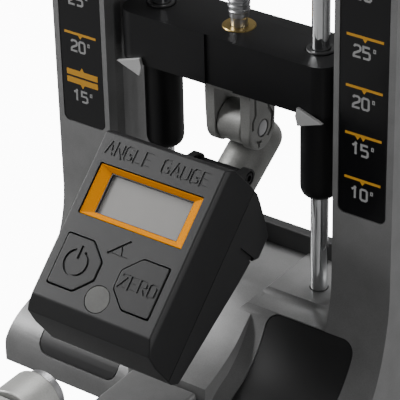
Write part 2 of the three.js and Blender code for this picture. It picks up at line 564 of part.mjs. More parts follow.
const POST_HALF = 10;
const POST_FRONT = CLAMP_POST_Y - 7;
const POST_BACK = CLAMP_POST_Y + 7;
const SHAFT_R = 5;
function postOutline() {
  const shape = new THREE.Shape();
  shape.moveTo(-POST_HALF - 2, BEAM_TOP + 0.1);
  shape.lineTo(POST_HALF + 2, BEAM_TOP + 0.1);
  shape.lineTo(POST_HALF, BEAM_TOP + 8);
  shape.lineTo(POST_HALF, CLAMP_Z);
  shape.absarc(0, CLAMP_Z, POST_HALF, 0, Math.PI);
  shape.lineTo(-POST_HALF, BEAM_TOP + 8);
  return shape;
}
add("clamp_post", carve(
  alongY(postOutline(), POST_FRONT, POST_BACK),
  rodY(SHAFT_R + RUN, POST_FRONT - 1, POST_BACK + 1).translate(0, 0, CLAMP_Z),
  ...POST_SCREWS.map(([x, y]) => rodZ(2, BEAM_TOP - 1, BEAM_TOP + 9.1, 16).translate(x, y, 0)),
), CAST_DARK);

const JAW_HALF = 22;
const JAW_FRONT = -154;
const JAW_BACK = -121;
const JAW_GAP = 1.25; // half the blade space
const JAW_THICK = 6;
const JAW_SCREW_Y = -136;
const JAW_SCREW_R = 2.5;
const GUIDE_PINS = [14, -14];
const lowerTop = CLAMP_Z - JAW_GAP;
const upperBottom = CLAMP_Z + JAW_GAP;
const lowerJaw = alongX(outline([
  [JAW_BACK, lowerTop - JAW_THICK], [JAW_BACK, lowerTop], [JAW_FRONT, lowerTop], [JAW_FRONT, lowerTop - 2],
  [JAW_FRONT + 12, lowerTop - JAW_THICK],
].reverse()), -JAW_HALF, JAW_HALF);
const jawHoles = [
  rodZ(JAW_SCREW_R + RUN, 30, 90, 24).translate(0, JAW_SCREW_Y, 0),
  ...GUIDE_PINS.map((x) => rodZ(2 + RUN, 30, 90, 24).translate(x, JAW_SCREW_Y, 0)),
];
add("clamp_shaft_and_jaw", cut(
  join(
    rodY(SHAFT_R, JAW_BACK - 1, POST_BACK + 4).translate(0, 0, CLAMP_Z),
    block(-POST_HALF, POST_HALF, JAW_BACK - 1, POST_FRONT - 0.4, CLAMP_Z - 8, CLAMP_Z + 8),
    lowerJaw,
  ),
  ...jawHoles,
), CAST_DARK);
add("shaft_collar", ringZ(8, SHAFT_R + 0.01, -POST_BACK - 4, -POST_BACK - 0.3).rotateX(Math.PI / 2)
  .translate(0, 0, CLAMP_Z), STEEL);
add("upper_jaw", carve(alongX(outline([
  [JAW_BACK - 1.5, upperBottom], [JAW_BACK - 1.5, upperBottom + JAW_THICK],
  [JAW_FRONT + 12, upperBottom + JAW_THICK], [JAW_FRONT, upperBottom + 2], [JAW_FRONT, upperBottom],
]), -JAW_HALF, JAW_HALF), ...jawHoles), CAST_DARK);
for (const [name, x] of [["jaw_guide_right", GUIDE_PINS[0]], ["jaw_guide_left", GUIDE_PINS[1]]]) {
  add(name, rodZ(2, lowerTop - JAW_THICK, upperBottom + JAW_THICK + 4, 24).translate(x, JAW_SCREW_Y, 0), STEEL);
}
const WHEEL_BOTTOM = upperBottom + JAW_THICK + 0.4;
add("clamp_screw", rodZ(JAW_SCREW_R, lowerTop - JAW_THICK + 0.2, WHEEL_BOTTOM + 6, 24)
  .translate(0, JAW_SCREW_Y, 0), STEEL);
add("clamp_wheel", carve(
  alongZ(knobOutline(9, 1), WHEEL_BOTTOM, WHEEL_BOTTOM + 8.4),
  rodZ(JAW_SCREW_R, WHEEL_BOTTOM - 1, WHEEL_BOTTOM + 6, 24),
).translate(0, JAW_SCREW_Y, 0), BLACK_PLASTIC);

export default root;
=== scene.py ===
"""Looks of the honing guide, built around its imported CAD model. Lengths are in millimetres until they
reach Blender, which holds metres."""
import json
import math

import bmesh
import bpy
from mathutils import Matrix, Vector


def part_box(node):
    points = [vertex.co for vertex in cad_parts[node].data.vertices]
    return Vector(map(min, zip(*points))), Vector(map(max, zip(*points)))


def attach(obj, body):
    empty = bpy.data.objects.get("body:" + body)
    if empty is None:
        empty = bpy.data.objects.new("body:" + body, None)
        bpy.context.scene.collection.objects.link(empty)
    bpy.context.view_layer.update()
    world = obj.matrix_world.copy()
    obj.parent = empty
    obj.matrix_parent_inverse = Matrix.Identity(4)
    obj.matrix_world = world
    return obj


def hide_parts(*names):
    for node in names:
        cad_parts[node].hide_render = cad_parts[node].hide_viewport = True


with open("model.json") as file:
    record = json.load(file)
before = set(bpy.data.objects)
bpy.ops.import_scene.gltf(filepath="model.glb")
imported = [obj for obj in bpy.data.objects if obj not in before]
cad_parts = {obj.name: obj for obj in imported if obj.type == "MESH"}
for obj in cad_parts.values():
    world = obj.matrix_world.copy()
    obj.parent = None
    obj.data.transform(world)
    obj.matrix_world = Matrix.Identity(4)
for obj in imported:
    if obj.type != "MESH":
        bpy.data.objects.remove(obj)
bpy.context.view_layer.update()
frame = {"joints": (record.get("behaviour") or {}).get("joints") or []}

MM = 0.001

# ---------- places read from the frame ----------
def box_mm(node):
    low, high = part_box(node)
    return low / MM, high / MM


def middle(node):
    low, high = box_mm(node)
    return (low + high) / 2


Y0 = box_mm("top_bridge")[0].y  # front face of the uprights
HALF_WIDTH = box_mm("top_bridge")[1].x
TOWER_BACK = box_mm("top_bridge")[1].y
TOWER_TOP = box_mm("top_bridge")[0].z
BAR_LOW, BAR_HIGH = box_mm("crossbar")
MARK_Z = BAR_LOW.z - 0.2  # height of the 15 degree mark
ROD = middle("guide_rod_right")
ROD_R = (box_mm("guide_rod_right")[1].x - box_mm("guide_rod_right")[0].x) / 2
AXIS_Y = ROD.y
PIN = middle("pitch_pin")
PIN_R = (box_mm("pitch_pin")[1].z - box_mm("pitch_pin")[0].z) / 2
JOINTS = {joint["name"]: joint for joint in frame["joints"]}

# the indicator's own axes: x across the face, y up the face, z out of it
PRESS = Vector(JOINTS["zero_press"]["axis"])
FACE_TILT = math.atan2(PRESS.y, -PRESS.z)
DISC = middle("face_disc")
DISC_Y = -24.6
FACE_TURN = Matrix.Rotation(FACE_TILT, 4, "X")
FACE = Matrix.Translation(DISC - FACE_TURN @ Vector((0, DISC_Y, -0.5))) @ FACE_TURN
ARM_DROOP = math.radians(34)
ARM = Matrix.Translation(PIN) @ Matrix.Rotation(ARM_DROOP, 4, "X")


# ---------- materials ----------
MOTTLE_SIZE = 9
BUMP_HEIGHT = 0.1


def material(name, color, roughness, metallic=0.0, specular=0.5, grain=0.0, grain_size=0.6, bump=0.0,
             mottle=0.0, streak=None):
    """Principled material. grain varies the roughness, mottle the colour, and bump the height, each with
    noise of grain_size. streak stretches the noise along one axis, for brushed metal."""
    mat = bpy.data.materials.new(name)
    mat.use_nodes = True
    nodes, links = mat.node_tree.nodes, mat.node_tree.links
    shader = nodes["Principled BSDF"]
    shader.inputs["Base Color"].default_value = (*color, 1)
    shader.inputs["Roughness"].default_value = roughness
    shader.inputs["Metallic"].default_value = metallic
    shader.inputs["Specular IOR Level"].default_value = specular
    coords = nodes.new("ShaderNodeTexCoord")
    mapping = nodes.new("ShaderNodeMapping")
    scale = 1 / (grain_size * MM)
    stretch = {"x": (0.02, 1, 1), "y": (1, 0.02, 1), "z": (1, 1, 0.02)}.get(streak, (1, 1, 1))
    mapping.inputs["Scale"].default_value = [scale * s for s in stretch]
    links.new(coords.outputs["Object"], mapping.inputs["Vector"])
    noise = nodes.new("ShaderNodeTexNoise")
    noise.inputs["Scale"].default_value = 1
    noise.inputs["Detail"].default_value = 3
    links.new(mapping.outputs["Vector"], noise.inputs["Vector"])
    if grain:
        spread = nodes.new("ShaderNodeMapRange")
        spread.inputs["To Min"].default_value = max(0.02, roughness - grain)
        spread.inputs["To Max"].default_value = min(1, roughness + grain)
        links.new(noise.outputs["Fac"], spread.inputs["Value"])
        links.new(spread.outputs["Result"], shader.inputs["Roughness"])
    if mottle:
        wide = nodes.new("ShaderNodeTexNoise")
        wide.inputs["Scale"].default_value = 1 / (MOTTLE_SIZE * MM)
        wide.inputs["Detail"].default_value = 4
        links.new(coords.outputs["Object"], wide.inputs["Vector"])
        total = nodes.new("ShaderNodeMath")
        total.operation = "ADD"
        links.new(wide.outputs["Fac"], total.inputs[0])
        links.new(noise.outputs["Fac"], total.inputs[1])
        ramp = nodes.new("ShaderNodeValToRGB")
        ramp.color_ramp.elements[0].position = 0.35
        ramp.color_ramp.elements[1].position = 0.65
        ramp.color_ramp.elements[0].color = (*[c * (1 - mottle) for c in color], 1)
        ramp.color_ramp.elements[1].color = (*[min(1, c * (1 + mottle)) for c in color], 1)
        half = nodes.new("ShaderNodeMath")
        half.operation = "MULTIPLY"
        half.inputs[1].default_value = 0.5
        links.new(total.outputs[0], half.inputs[0])
        links.new(half.outputs[0], ramp.inputs["Fac"])
        links.new(ramp.outputs["Color"], shader.inputs["Base Color"])
    if bump:
        height = nodes.new("ShaderNodeBump")
        height.inputs["Strength"].default_value = bump
        height.inputs["Distance"].default_value = BUMP_HEIGHT * MM
        links.new(noise.outputs["Fac"], height.inputs["Height"])
        links.new(height.outputs["Normal"], shader.inputs["Normal"])
    return mat


CAST = material("cast_grey", (0.20, 0.20, 0.20), 0.43, 0.55, grain=0.1, grain_size=0.45, bump=0.45,
                mottle=0.12)
CAST_DARK = material("cast_dark", (0.27, 0.27, 0.26), 0.46, 0.5, grain=0.1, grain_size=0.5, bump=0.35,
                     mottle=0.14)
STEEL = material("steel", (0.42, 0.42, 0.43), 0.33, 0.95, grain=0.1, grain_size=0.8, bump=0.1, mottle=0.06,
                 streak="x")
CHROME = material("chrome", (0.80, 0.81, 0.82), 0.07, 1.0, grain=0.04, grain_size=3, mottle=0.02)
BRASS = material("brass", (0.50, 0.36, 0.13), 0.3, 1.0, grain=0.08, grain_size=0.6, bump=0.1, mottle=0.08)
POINTER = material("pointer_steel", (0.46, 0.46, 0.46), 0.42, 0.55, grain=0.06, grain_size=0.5, bump=0.1,
                   mottle=0.05)
DISC_METAL = material("disc_metal", (0.042, 0.042, 0.04), 0.45, 0.5, grain=0.14, grain_size=1.2, bump=0.12,
                      mottle=0.22)
BLACK_METAL = material("black_metal", (0.004, 0.004, 0.0045), 0.42, specular=0.25, grain=0.07,
                       grain_size=0.35, bump=0.15, mottle=0.15)
BLACK_GLOSS = material("black_gloss", (0.003, 0.003, 0.0035), 0.16, specular=0.35, grain=0.05, grain_size=2,
                       mottle=0.1)
# near black colour of the rear rail: painted shade of its shaded front face, on a rail that is part of the
# grey casting
RAIL_SHADE = material("rail_painted_shade", (0.012, 0.012, 0.0125), 0.5, grain=0.06, grain_size=0.4, bump=0.15,
                      mottle=0.1)
BLACK_PLASTIC = material("black_plastic", (0.008, 0.008, 0.0085), 0.5, grain=0.07, grain_size=0.3, bump=0.3,
                         mottle=0.12)
GREY_PLASTIC = material("grey_plastic", (0.010, 0.010, 0.0105), 0.48, specular=0.3, grain=0.06,
                        grain_size=0.25, bump=0.35, mottle=0.08)
BUTTON_PLASTIC = material("button_plastic", (0.008, 0.008, 0.0085), 0.48, specular=0.28, grain=0.06,
                          grain_size=0.25, bump=0.3, mottle=0.08)
AMBER = material("amber_plastic", (0.50, 0.172, 0.0), 0.7, specular=0.0, grain=0.05, grain_size=0.3,
                 bump=0.1, mottle=0.04)
AMBER_PRINT = material("amber_print", (0.46, 0.22, 0.005), 0.5, grain=0.05, grain_size=0.2, mottle=0.06)
GREY_PRINT = material("grey_print", (0.23, 0.23, 0.23), 0.5, grain=0.05, grain_size=0.2, mottle=0.06)
LCD = material("lcd", (0.165, 0.163, 0.158), 0.5, specular=0.3, grain=0.04, grain_size=6, mottle=0.03)
BOARD = material("board", (0.02, 0.09, 0.04), 0.4, grain=0.06, grain_size=0.5, mottle=0.12)
RUBBER = material("rubber", (0.012, 0.012, 0.012), 0.8, grain=0.08, grain_size=0.5, bump=0.3, mottle=0.1)


def floor_material():
    """Pale floor that the camera sees as clean white paper, and that lights the object as plain card."""
    mat = bpy.data.materials.new("floor_paper")
    mat.use_nodes = True
    nodes, links = mat.node_tree.nodes, mat.node_tree.links
    card = nodes["Principled BSDF"]
    card.inputs["Base Color"].default_value = (0.16, 0.16, 0.16, 1)
    card.inputs["Roughness"].default_value = 0.9
    glow = nodes.new("ShaderNodeEmission")
    glow.inputs["Strength"].default_value = 12
    path = nodes.new("ShaderNodeLightPath")
    mix = nodes.new("ShaderNodeMixShader")
    links.new(path.outputs["Is Camera Ray"], mix.inputs["Fac"])
    links.new(card.outputs["BSDF"], mix.inputs[1])
    links.new(glow.outputs["Emission"], mix.inputs[2])
    links.new(mix.outputs["Shader"], nodes["Material Output"].inputs["Surface"])
    return mat


FLOOR = floor_material()


# ---------- shapes ----------
def edit(obj, change):
    """Opens the piece's mesh as a bmesh, changes it and writes it back."""
    bm = bmesh.new()
    bm.from_mesh(obj.data)
    change(bm)
    bm.to_mesh(obj.data)
    bm.free()
    return obj


def mesh_object(verts, faces):
    """New object of the given faces, all turned outwards."""
    mesh = bpy.data.meshes.new("tool")
    mesh.from_pydata([Vector(v) for v in verts], [], faces)
    obj = bpy.data.objects.new("tool", mesh)
    bpy.context.scene.collection.objects.link(obj)
    return edit(obj, lambda bm: bmesh.ops.recalc_face_normals(bm, faces=bm.faces))


ORDER = {"x": (2, 0, 1), "y": (0, 2, 1), "z": (0, 1, 2)}


def prism(points, axis, low, high):
    """Outline in the two other axes, in their x, y, z order, from low to high along axis."""
    def place(a, b, c):
        return tuple((a, b, c)[i] for i in ORDER[axis])
    n = len(points)
    verts = [place(a, b, low) for a, b in points] + [place(a, b, high) for a, b in points]
    faces = [list(range(n)), list(range(n, 2 * n))]
    faces += [[i, (i + 1) % n, n + (i + 1) % n, n + i] for i in range(n)]
    return mesh_object(verts, faces)


def block(x0, x1, y0, y1, z0, z1):
    return prism([(x0, y0), (x1, y0), (x1, y1), (x0, y1)], "z", z0, z1)


def lathe(profile, axis="z", centre=(0, 0, 0), sides=96):
    """Turned piece. profile is [radius, height] pairs; it closes on the axis or on itself."""
    loop = profile[0][0] > 0
    verts, rings = [], []
    for r, h in profile:
        if r < 1e-6:
            rings.append([len(verts)])
            verts.append((0, 0, h))
        else:
            rings.append(list(range(len(verts), len(verts) + sides)))
            verts += [(r * math.cos(t), r * math.sin(t), h)
                      for t in (2 * math.pi * i / sides for i in range(sides))]
    faces = []
    following = rings[1:] + rings[:1] if loop else rings[1:]
    for a, b in zip(rings, following):
        for i in range(sides):
            j = (i + 1) % sides
            if len(a) == 1:
                faces.append([a[0], b[i], b[j]])
            elif len(b) == 1:
                faces.append([a[i], a[j], b[0]])
            else:
                faces.append([a[i], a[j], b[j], b[i]])
    turn = {"x": Matrix.Rotation(math.pi / 2, 4, "Y"), "y": Matrix.Rotation(-math.pi / 2, 4, "X"),
            "z": Matrix.Identity(4)}[axis]
    spot = Matrix.Translation(centre) @ turn
    return mesh_object([spot @ Vector(v) for v in verts], faces)


def disc(r, low, high, axis="z", centre=(0, 0, 0), edge=0.0, sides=96):
    """Solid cylinder with both rims rounded by edge."""
    profile = [(0, low), (r, low), (r, high), (0, high)]
    if edge:
        rim = [(r - edge + edge * math.sin(t), edge * (1 - math.cos(t)))
               for t in (math.pi / 2 * i / 4 for i in range(5))]
        profile = [(0, low)] + [(a, low + b) for a, b in rim] + [(a, high - b) for a, b in reversed(rim)]
        profile.append((0, high))
    return lathe(profile, axis, centre, sides)


def ring(outer, inner, low, high, axis="z", centre=(0, 0, 0), edge=0.0, sides=96):
    """Bush whose four rims are chamfered by edge."""
    profile = [(inner, low + edge), (inner + edge, low), (outer - edge, low), (outer, low + edge),
               (outer, high - edge), (outer - edge, high), (inner + edge, high), (inner, high - edge)]
    return lathe(profile, axis, centre, sides)


def arc(cx, cy, r, start, end, steps=8):
    """Points of a circular arc; angles in degrees."""
    return [(cx + r * math.cos(math.radians(start + (end - start) * i / steps)),
             cy + r * math.sin(math.radians(start + (end - start) * i / steps))) for i in range(steps + 1)]


def rounded_rect(x0, x1, y0, y1, r, steps=8):
    return (arc(x1 - r, y0 + r, r, -90, 0, steps) + arc(x1 - r, y1 - r, r, 0, 90, steps)
            + arc(x0 + r, y1 - r, r, 90, 180, steps) + arc(x0 + r, y0 + r, r, 180, 270, steps))


def bezier(points, steps):
    """Points of a Bezier curve of any degree."""
    result = []
    for i in range(steps + 1):
        t = i / steps
        level = [Vector(p) for p in points]
        while len(level) > 1:
            level = [a.lerp(b, t) for a, b in zip(level, level[1:])]
        result.append((level[0].x, level[0].y))
    return result


def apply_modifiers(obj):
    bpy.context.view_layer.update()
    mesh = bpy.data.meshes.new_from_object(obj.evaluated_get(bpy.context.evaluated_depsgraph_get()))
    obj.modifiers.clear()
    old = obj.data
    obj.data = mesh
    bpy.data.meshes.remove(old)
    return obj


def boolean(body, tools, operation):
    for tool in tools:
        mod = body.modifiers.new("boolean", "BOOLEAN")
        mod.operation = operation
        mod.solver = "EXACT"
        mod.object = tool
        apply_modifiers(body)
        bpy.data.objects.remove(tool)
    return body


def cut(body, *tools):
    return boolean(body, tools, "DIFFERENCE")


def join(body, *tools):
    return boolean(body, tools, "UNION")


def common(body, *tools):
    return boolean(body, tools, "INTERSECT")


def moved(obj, matrix):
    obj.data.transform(matrix)
    if matrix.determinant() < 0:
        obj.data.flip_normals()
    return obj


MIRROR = Matrix.Diagonal((-1, 1, 1, 1))
SIDES = ((1, "right"), (-1, "left"))


def mirrored(obj):
    twin = bpy.data.objects.new("tool", obj.data.copy())
    bpy.context.scene.collection.objects.link(twin)
    return moved(twin, MIRROR)


def soften(obj, width, segments=3, angle=28):
    """Rounds every edge sharper than angle."""
    bm = bmesh.new()
    bm.from_mesh(obj.data)
    bmesh.ops.remove_doubles(bm, verts=bm.verts, dist=0.002)
    bmesh.ops.dissolve_limit(bm, angle_limit=math.radians(0.5), verts=bm.verts, edges=bm.edges)
    bm.to_mesh(obj.data)
    bm.free()
    mod = obj.modifiers.new("bevel", "BEVEL")
    mod.width = width
    mod.segments = segments
    mod.limit_method = "ANGLE"
    mod.angle_limit = math.radians(angle)
    return apply_modifiers(obj)


def melt(obj, voxel, rounds):
    """Remeshes and relaxes a joined casting, so that its inner corners run together."""
    mod = obj.modifiers.new("remesh", "REMESH")
    mod.mode = "VOXEL"
    mod.voxel_size = voxel
    smooth = obj.modifiers.new("smooth", "SMOOTH")
    smooth.factor = 0.5
    smooth.iterations = rounds
    return apply_modifiers(obj)


def strip(points, width, low, high, closed=False):
    """A line of constant width in the xy plane, from low to high, as bars that overlap at the corners."""
    spots = [Vector(p) for p in points]
    n = len(spots)
    count = n if closed else n - 1
    rays = [(spots[(i + 1) % n] - spots[i]).normalized() for i in range(count)]
    body = None
    for i in range(count):
        reach = []
        for j in (i - 1, i + 1):
            if closed or 0 <= j < count:
                turn = rays[i].angle(rays[j % count])
                reach.append(min(width * 0.7, width / 2 * math.tan(turn / 2)))
            else:
                reach.append(0)
        start = spots[i] - rays[i] * reach[0]
        end = spots[(i + 1) % n] + rays[i] * reach[1]
        side = Vector((-rays[i].y, rays[i].x)) * width / 2
        bar = prism([start - side, end - side, end + side, start + side], "z", low, high)
        body = join(body, bar) if body else bar
    return body


def arc_band(cx, cy, r, width, start, end, low, high, steps=40):
    """A curved line of constant width; angles in degrees."""
    outer = arc(cx, cy, r + width / 2, start, end, steps)
    return prism(outer + arc(cx, cy, r - width / 2, end, start, steps), "z", low, high)


ROUND_0 = [(0.12, 0), (0.48, 0), (0.6, 0.12), (0.6, 0.88), (0.48, 1), (0.12, 1), (0, 0.88), (0, 0.12)]
# each glyph: strokes in a box 0.6 wide and 1 high, with True for a closed one
GLYPHS = {
    "0": [(ROUND_0, True)],
    "1": [([(0.02, 0.78), (0.32, 1), (0.32, 0)], False)],
    "2": [([(0, 0.84), (0.12, 1), (0.48, 1), (0.6, 0.88), (0.6, 0.64), (0.48, 0.52), (0.08, 0.3), (0, 0.18),
            (0, 0), (0.62, 0)], False)],
    "3": [([(0, 0.9), (0.1, 1), (0.48, 1), (0.6, 0.88), (0.6, 0.62), (0.5, 0.52), (0.2, 0.52)], False),
          ([(0.5, 0.52), (0.6, 0.42), (0.6, 0.12), (0.48, 0), (0.1, 0), (0, 0.1)], False)],
    "5": [([(0.6, 1), (0, 1), (0, 0.56), (0.48, 0.56), (0.6, 0.44), (0.6, 0.12), (0.48, 0), (0, 0)], False)],
    "o": [([(0.1, 0.72), (0.26, 0.72), (0.26, 0.98), (0.1, 0.98)], True)],
    "A": [([(0, 0), (0.28, 1), (0.34, 1), (0.62, 0)], False), ([(0.14, 0.3), (0.48, 0.3)], False)],
    "E": [([(0.6, 1), (0, 1), (0, 0), (0.6, 0)], False), ([(0, 0.5), (0.5, 0.5)], False)],
    "G": [([(0.6, 0.86), (0.48, 1), (0.12, 1), (0, 0.88), (0, 0.12), (0.12, 0), (0.48, 0), (0.6, 0.12),
            (0.6, 0.46), (0.34, 0.46)], False)],
    "L": [([(0, 1), (0, 0), (0.56, 0)], False)],
    "N": [([(0, 0), (0, 1), (0.6, 0), (0.6, 1)], False)],
    "O": [(ROUND_0, True)],
    "R": [([(0, 0), (0, 1), (0.48, 1), (0.6, 0.88), (0.6, 0.6), (0.48, 0.48), (0, 0.48)], False),
          ([(0.32, 0.48), (0.6, 0)], False)],
    "U": [([(0, 1), (0, 0.12), (0.12, 0), (0.48, 0), (0.6, 0.12), (0.6, 1)], False)],
    "Z": [([(0, 1), (0.6, 1), (0, 0), (0.6, 0)], False)],
}


def lettering(text, height, thick, low, high, centre=(0, 0), pitch=0.86, squeeze=1.0):
    """Strips that spell text, centred on centre; height is the height of a capital."""
    step = height * pitch * squeeze
    left = centre[0] - (step * (len(text) - 1) + 0.6 * height * squeeze) / 2
    pieces = []
    for i, letter in enumerate(text):
        for points, closed in GLYPHS.get(letter, []):
            line = thick * 0.45 if letter == "o" else thick
            spots = [(left + i * step + x * height * squeeze, centre[1] + (y - 0.5) * height)
                     for x, y in points]
            pieces.append(strip(spots, line, low, high, closed))
    return pieces


def merged(pieces):
    """Puts pieces that lie apart or only touch into one mesh."""
    bm = bmesh.new()
    for piece in pieces:
        bm.from_mesh(piece.data)
        bpy.data.objects.remove(piece)
    mesh = bpy.data.meshes.new("tool")
    bm.to_mesh(mesh)
    bm.free()
    obj = bpy.data.objects.new("tool", mesh)
    bpy.context.scene.collection.objects.link(obj)
    return obj


def round_edges(obj, test, width, segments=4):
    """Rounds only the edges whose two ends both pass test, a function of a point."""
    bm = bmesh.new()
    bm.from_mesh(obj.data)
    edges = [e for e in bm.edges if all(test(v.co) for v in e.verts) and e.calc_face_angle(0) > 0.5]
    bmesh.ops.bevel(bm, geom=edges, offset=width, segments=segments, profile=0.5, affect="EDGES",
                    clamp_overlap=True)
    bm.to_mesh(obj.data)
    bm.free()
    return obj


def done(obj, name, body, mat, *nodes, sharp=32):
    """Names a finished piece, turns it to metres, shades it smooth below sharp degrees and hands it to the
    frame."""
    obj.name = name
    obj.data.name = name
    obj.data.transform(Matrix.Scale(MM, 4))
    obj.data.materials.clear()
    obj.data.materials.append(mat)
    bm = bmesh.new()
    bm.from_mesh(obj.data)
    limit = math.radians(sharp)
    for face in bm.faces:
        face.smooth = True
    for edge in bm.edges:
        if len(edge.link_faces) == 2:
            edge.smooth = edge.calc_face_angle(0) < limit
    bm.to_mesh(obj.data)
    bm.free()
    weighted = obj.modifiers.new("weighted", "WEIGHTED_NORMAL")
    weighted.keep_sharp = True
    weighted.weight = 80
    apply_modifiers(obj)
    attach(obj, body)
    if nodes:
        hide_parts(*nodes)
    return obj


# ---------- tower, in axes whose y starts at the front of the uprights ----------
TOWER = Matrix.Translation((0, Y0, 0))
DEPTH = TOWER_BACK - Y0
BASE_Z = box_mm("base_plate")[1].z
POST_INNER = 47.3
LEDGE_Z = 48.5  # top of the decks that the rods stand on
LIP_Y = 4.7  # front edge of a deck
LIP_LOW = 45  # lower end of the hollow under that edge
LIP_STEPS = 14
FILLET = 10  # radius between deck and upright
FLOOR_Z = 47.2  # back of the floor between the decks
FLOOR_HALF = 17
RAIL_Y = 31
RAIL_TOP = 55.7
FOOT_FRONT = -34
FOOT_FLARE = 4.5
FLARE_TOP, FLARE_LOW = 62, 12  # heights between which the outer side of a foot spreads
CHANNEL_Y = 6.5  # bottom of the channel in the back of an upright
PLATE_LOW, PLATE_HIGH = box_mm("scale_plate_right")
INSERT_LOW, INSERT_HIGH = box_mm("foot_insert_right")
PAD_TOP = 44.4
FLUSH_EDGE = 2.2  # rounding of the outer front edge


def placed(obj, side):
    """Takes a piece from the right side of the tower's axes to its place on either side."""
    moved(obj, TOWER)
    return moved(obj, MIRROR) if side < 0 else obj


def cove_line(steps=18):
    """Front of an upright and its foot, from (0, 64) forward and down to the toe."""
    upper = bezier([(0, 64), (-0.6, 46), (-9, 28.5), (-23, 22.8)], steps)
    lower = bezier([(-23, 22.8), (FOOT_FRONT, 18.6), (FOOT_FRONT, 8)], 8)
    return upper + lower[1:]


def cove_depth(z):
    """How far back the front of an upright stands at height z."""
    line = cove_line(40)
    for (y0, z0), (y1, z1) in zip(line, line[1:]):
        if z1 <= z <= z0:
            return y0 + (y1 - y0) * (z0 - z) / (z0 - z1)
    return 0


def foot_slab(depth0, depth1, margin, grow):
    """The part of a bent slab, between two depths behind the foot's front, that the pad's outline holds."""
    line = [p for p in cove_line() if 8.1 < p[1] < 60]
    front = [(y + depth0, z + depth0 * 0.4) for y, z in line]
    back = [(y + depth1, z + depth1 * 0.4) for y, z in reversed(line)]
    slab = prism(front + back, "x", INSERT_LOW.x - margin, INSERT_HIGH.x + margin)
    outline = rounded_rect(INSERT_LOW.x - grow, INSERT_HIGH.x + grow, INSERT_LOW.z - grow, PAD_TOP + grow, 5)
    return common(slab, prism(outline, "y", -60, 10))


def flare_at(z):
    """How far the outer side of a foot stands beyond its upright at height z."""
    return FOOT_FLARE * max(0, min(1, (FLARE_TOP - z) / (FLARE_TOP - FLARE_LOW))) ** 2.4


def split_level(obj, z):
    """Adds a line of vertices around the mesh at height z."""
    edit(obj, lambda bm: bmesh.ops.bisect_plane(
        bm, geom=bm.verts[:] + bm.edges[:] + bm.faces[:], plane_co=(0, 0, z), plane_no=(0, 0, 1)))


def upright():
    side = prism([(DEPTH, BASE_Z), (DEPTH, TOWER_TOP), (0, TOWER_TOP), (0, 120)] + cove_line()
                 + [(FOOT_FRONT, BASE_Z)], "x", POST_INNER, HALF_WIDTH)
    for z in range(12, 64, 4):
        split_level(side, z)
    round_edges(side, lambda p: p.x > HALF_WIDTH - 0.01 and p.y < DEPTH - 1 and p.z > BASE_Z + 1,
                FLUSH_EDGE, 5)
    for vert in side.data.vertices:
        if vert.co.x > HALF_WIDTH - 4:
            vert.co.x += flare_at(vert.co.z)
    # the inner side steps back behind its front edge, in a slope and then again behind the rod
    top = TOWER_TOP + 1
    step_z = LEDGE_Z + 4
    slope = [(POST_INNER - 1, 5.2), (POST_INNER - 1, 4.7), (POST_INNER + 2, 4.7), (POST_INNER + 2, 5.2),
             (POST_INNER, 9), (POST_INNER - 1, 9)]
    cut(side, prism(slope, "z", step_z, top),
        block(POST_INNER - 1, POST_INNER + 1, 12, DEPTH + 1, step_z, top))
    # channel along the back, open at the top
    channel = rounded_rect(POST_INNER + 5, HALF_WIDTH - 3.5, 66.5, TOWER_TOP + 9, 3)
    cut(side, prism(channel, "y", CHANNEL_Y, DEPTH + 5),
        block(POST_INNER + 5, HALF_WIDTH - 3.5, CHANNEL_Y, DEPTH + 1, TOWER_TOP - 5, top))
    recess = rounded_rect(PLATE_LOW.x - 0.25, PLATE_HIGH.x + 0.25,
                          PLATE_LOW.z - 0.25, PLATE_HIGH.z + 0.25, 2.7)
    cut(side, prism(recess, "y", -1, 1.2))
    return soften(side, 0.45, 4, 34)


def deck_section(rise):
    """Side outline of the deck where its top stands rise above the ledge. The front starts as a hollow
    under a crisp edge and runs into the front of the upright."""
    share = rise / FILLET
    top = LEDGE_Z + rise
    hollow = bezier([(LIP_Y, top), (LIP_Y - 0.8, top - 3), (1.6, LIP_LOW + 0.6), (-3.5, LIP_LOW)], LIP_STEPS)
    front = []
    for i, (y, z) in enumerate(hollow):
        level = top + (LIP_LOW - top) * i / LIP_STEPS
        front.append((y + (cove_depth(level) + 0.12 - y) * share, z + (level - z) * share))
    cove = [p for p in cove_line() if p[1] < LIP_LOW - 0.3]
    return [(DEPTH, BASE_Z), (DEPTH, top)] + front + cove + [(FOOT_FRONT, BASE_Z)]


def deck():
    """Level deck of one foot, with a concave corner against the upright and a chamfer towards the middle."""
    corner = arc(POST_INNER - FILLET, LEDGE_Z + FILLET, FILLET, -90, -2, 14)
    stations = [(8, 0)] + [(x, z - LEDGE_Z) for x, z in corner] + [(POST_INNER + 2, FILLET)]
    verts = [(x, y, z) for x, rise in stations for y, z in deck_section(rise)]
    n = len(verts) // len(stations)
    faces = []
    for start in range(0, len(verts) - n, n):
        for j in range(n):
            k = (j + 1) % n
            faces.append([start + j, start + k, start + n + k, start + n + j])
    faces += [list(range(n))[::-1], list(range(len(verts) - n, len(verts)))]
    level = mesh_object(verts, faces)
    cut(level, prism([(0, 30.5), (0, 70), (39.5, 70)], "y", -60, DEPTH + 1))
    return soften(level, 0.25, 3, 34)


def sloping_floor():
    """Floor between the decks, which runs down over the ridge that the beam comes out of."""
    front = FOOT_FRONT + 0.4
    ridge = bezier([(6, 47), (1, 46.6), (-6, 41.5), (-12, 36)], 10)
    ridge += bezier([(-12, 36), (-18, 31), (-26, 28), (front, 25.6)], 10)[1:]
    back = DEPTH - 0.5
    low = BASE_Z + 0.5
    floor = prism([(back, low), (back, FLOOR_Z), (RAIL_Y, FLOOR_Z)] + ridge + [(front, low)],
                  "x", -FLOOR_HALF, FLOOR_HALF)
    return round_edges(floor, lambda p: abs(p.x) > FLOOR_HALF - 0.1 and p.z > 24 and p.y < DEPTH - 1, 5, 8)


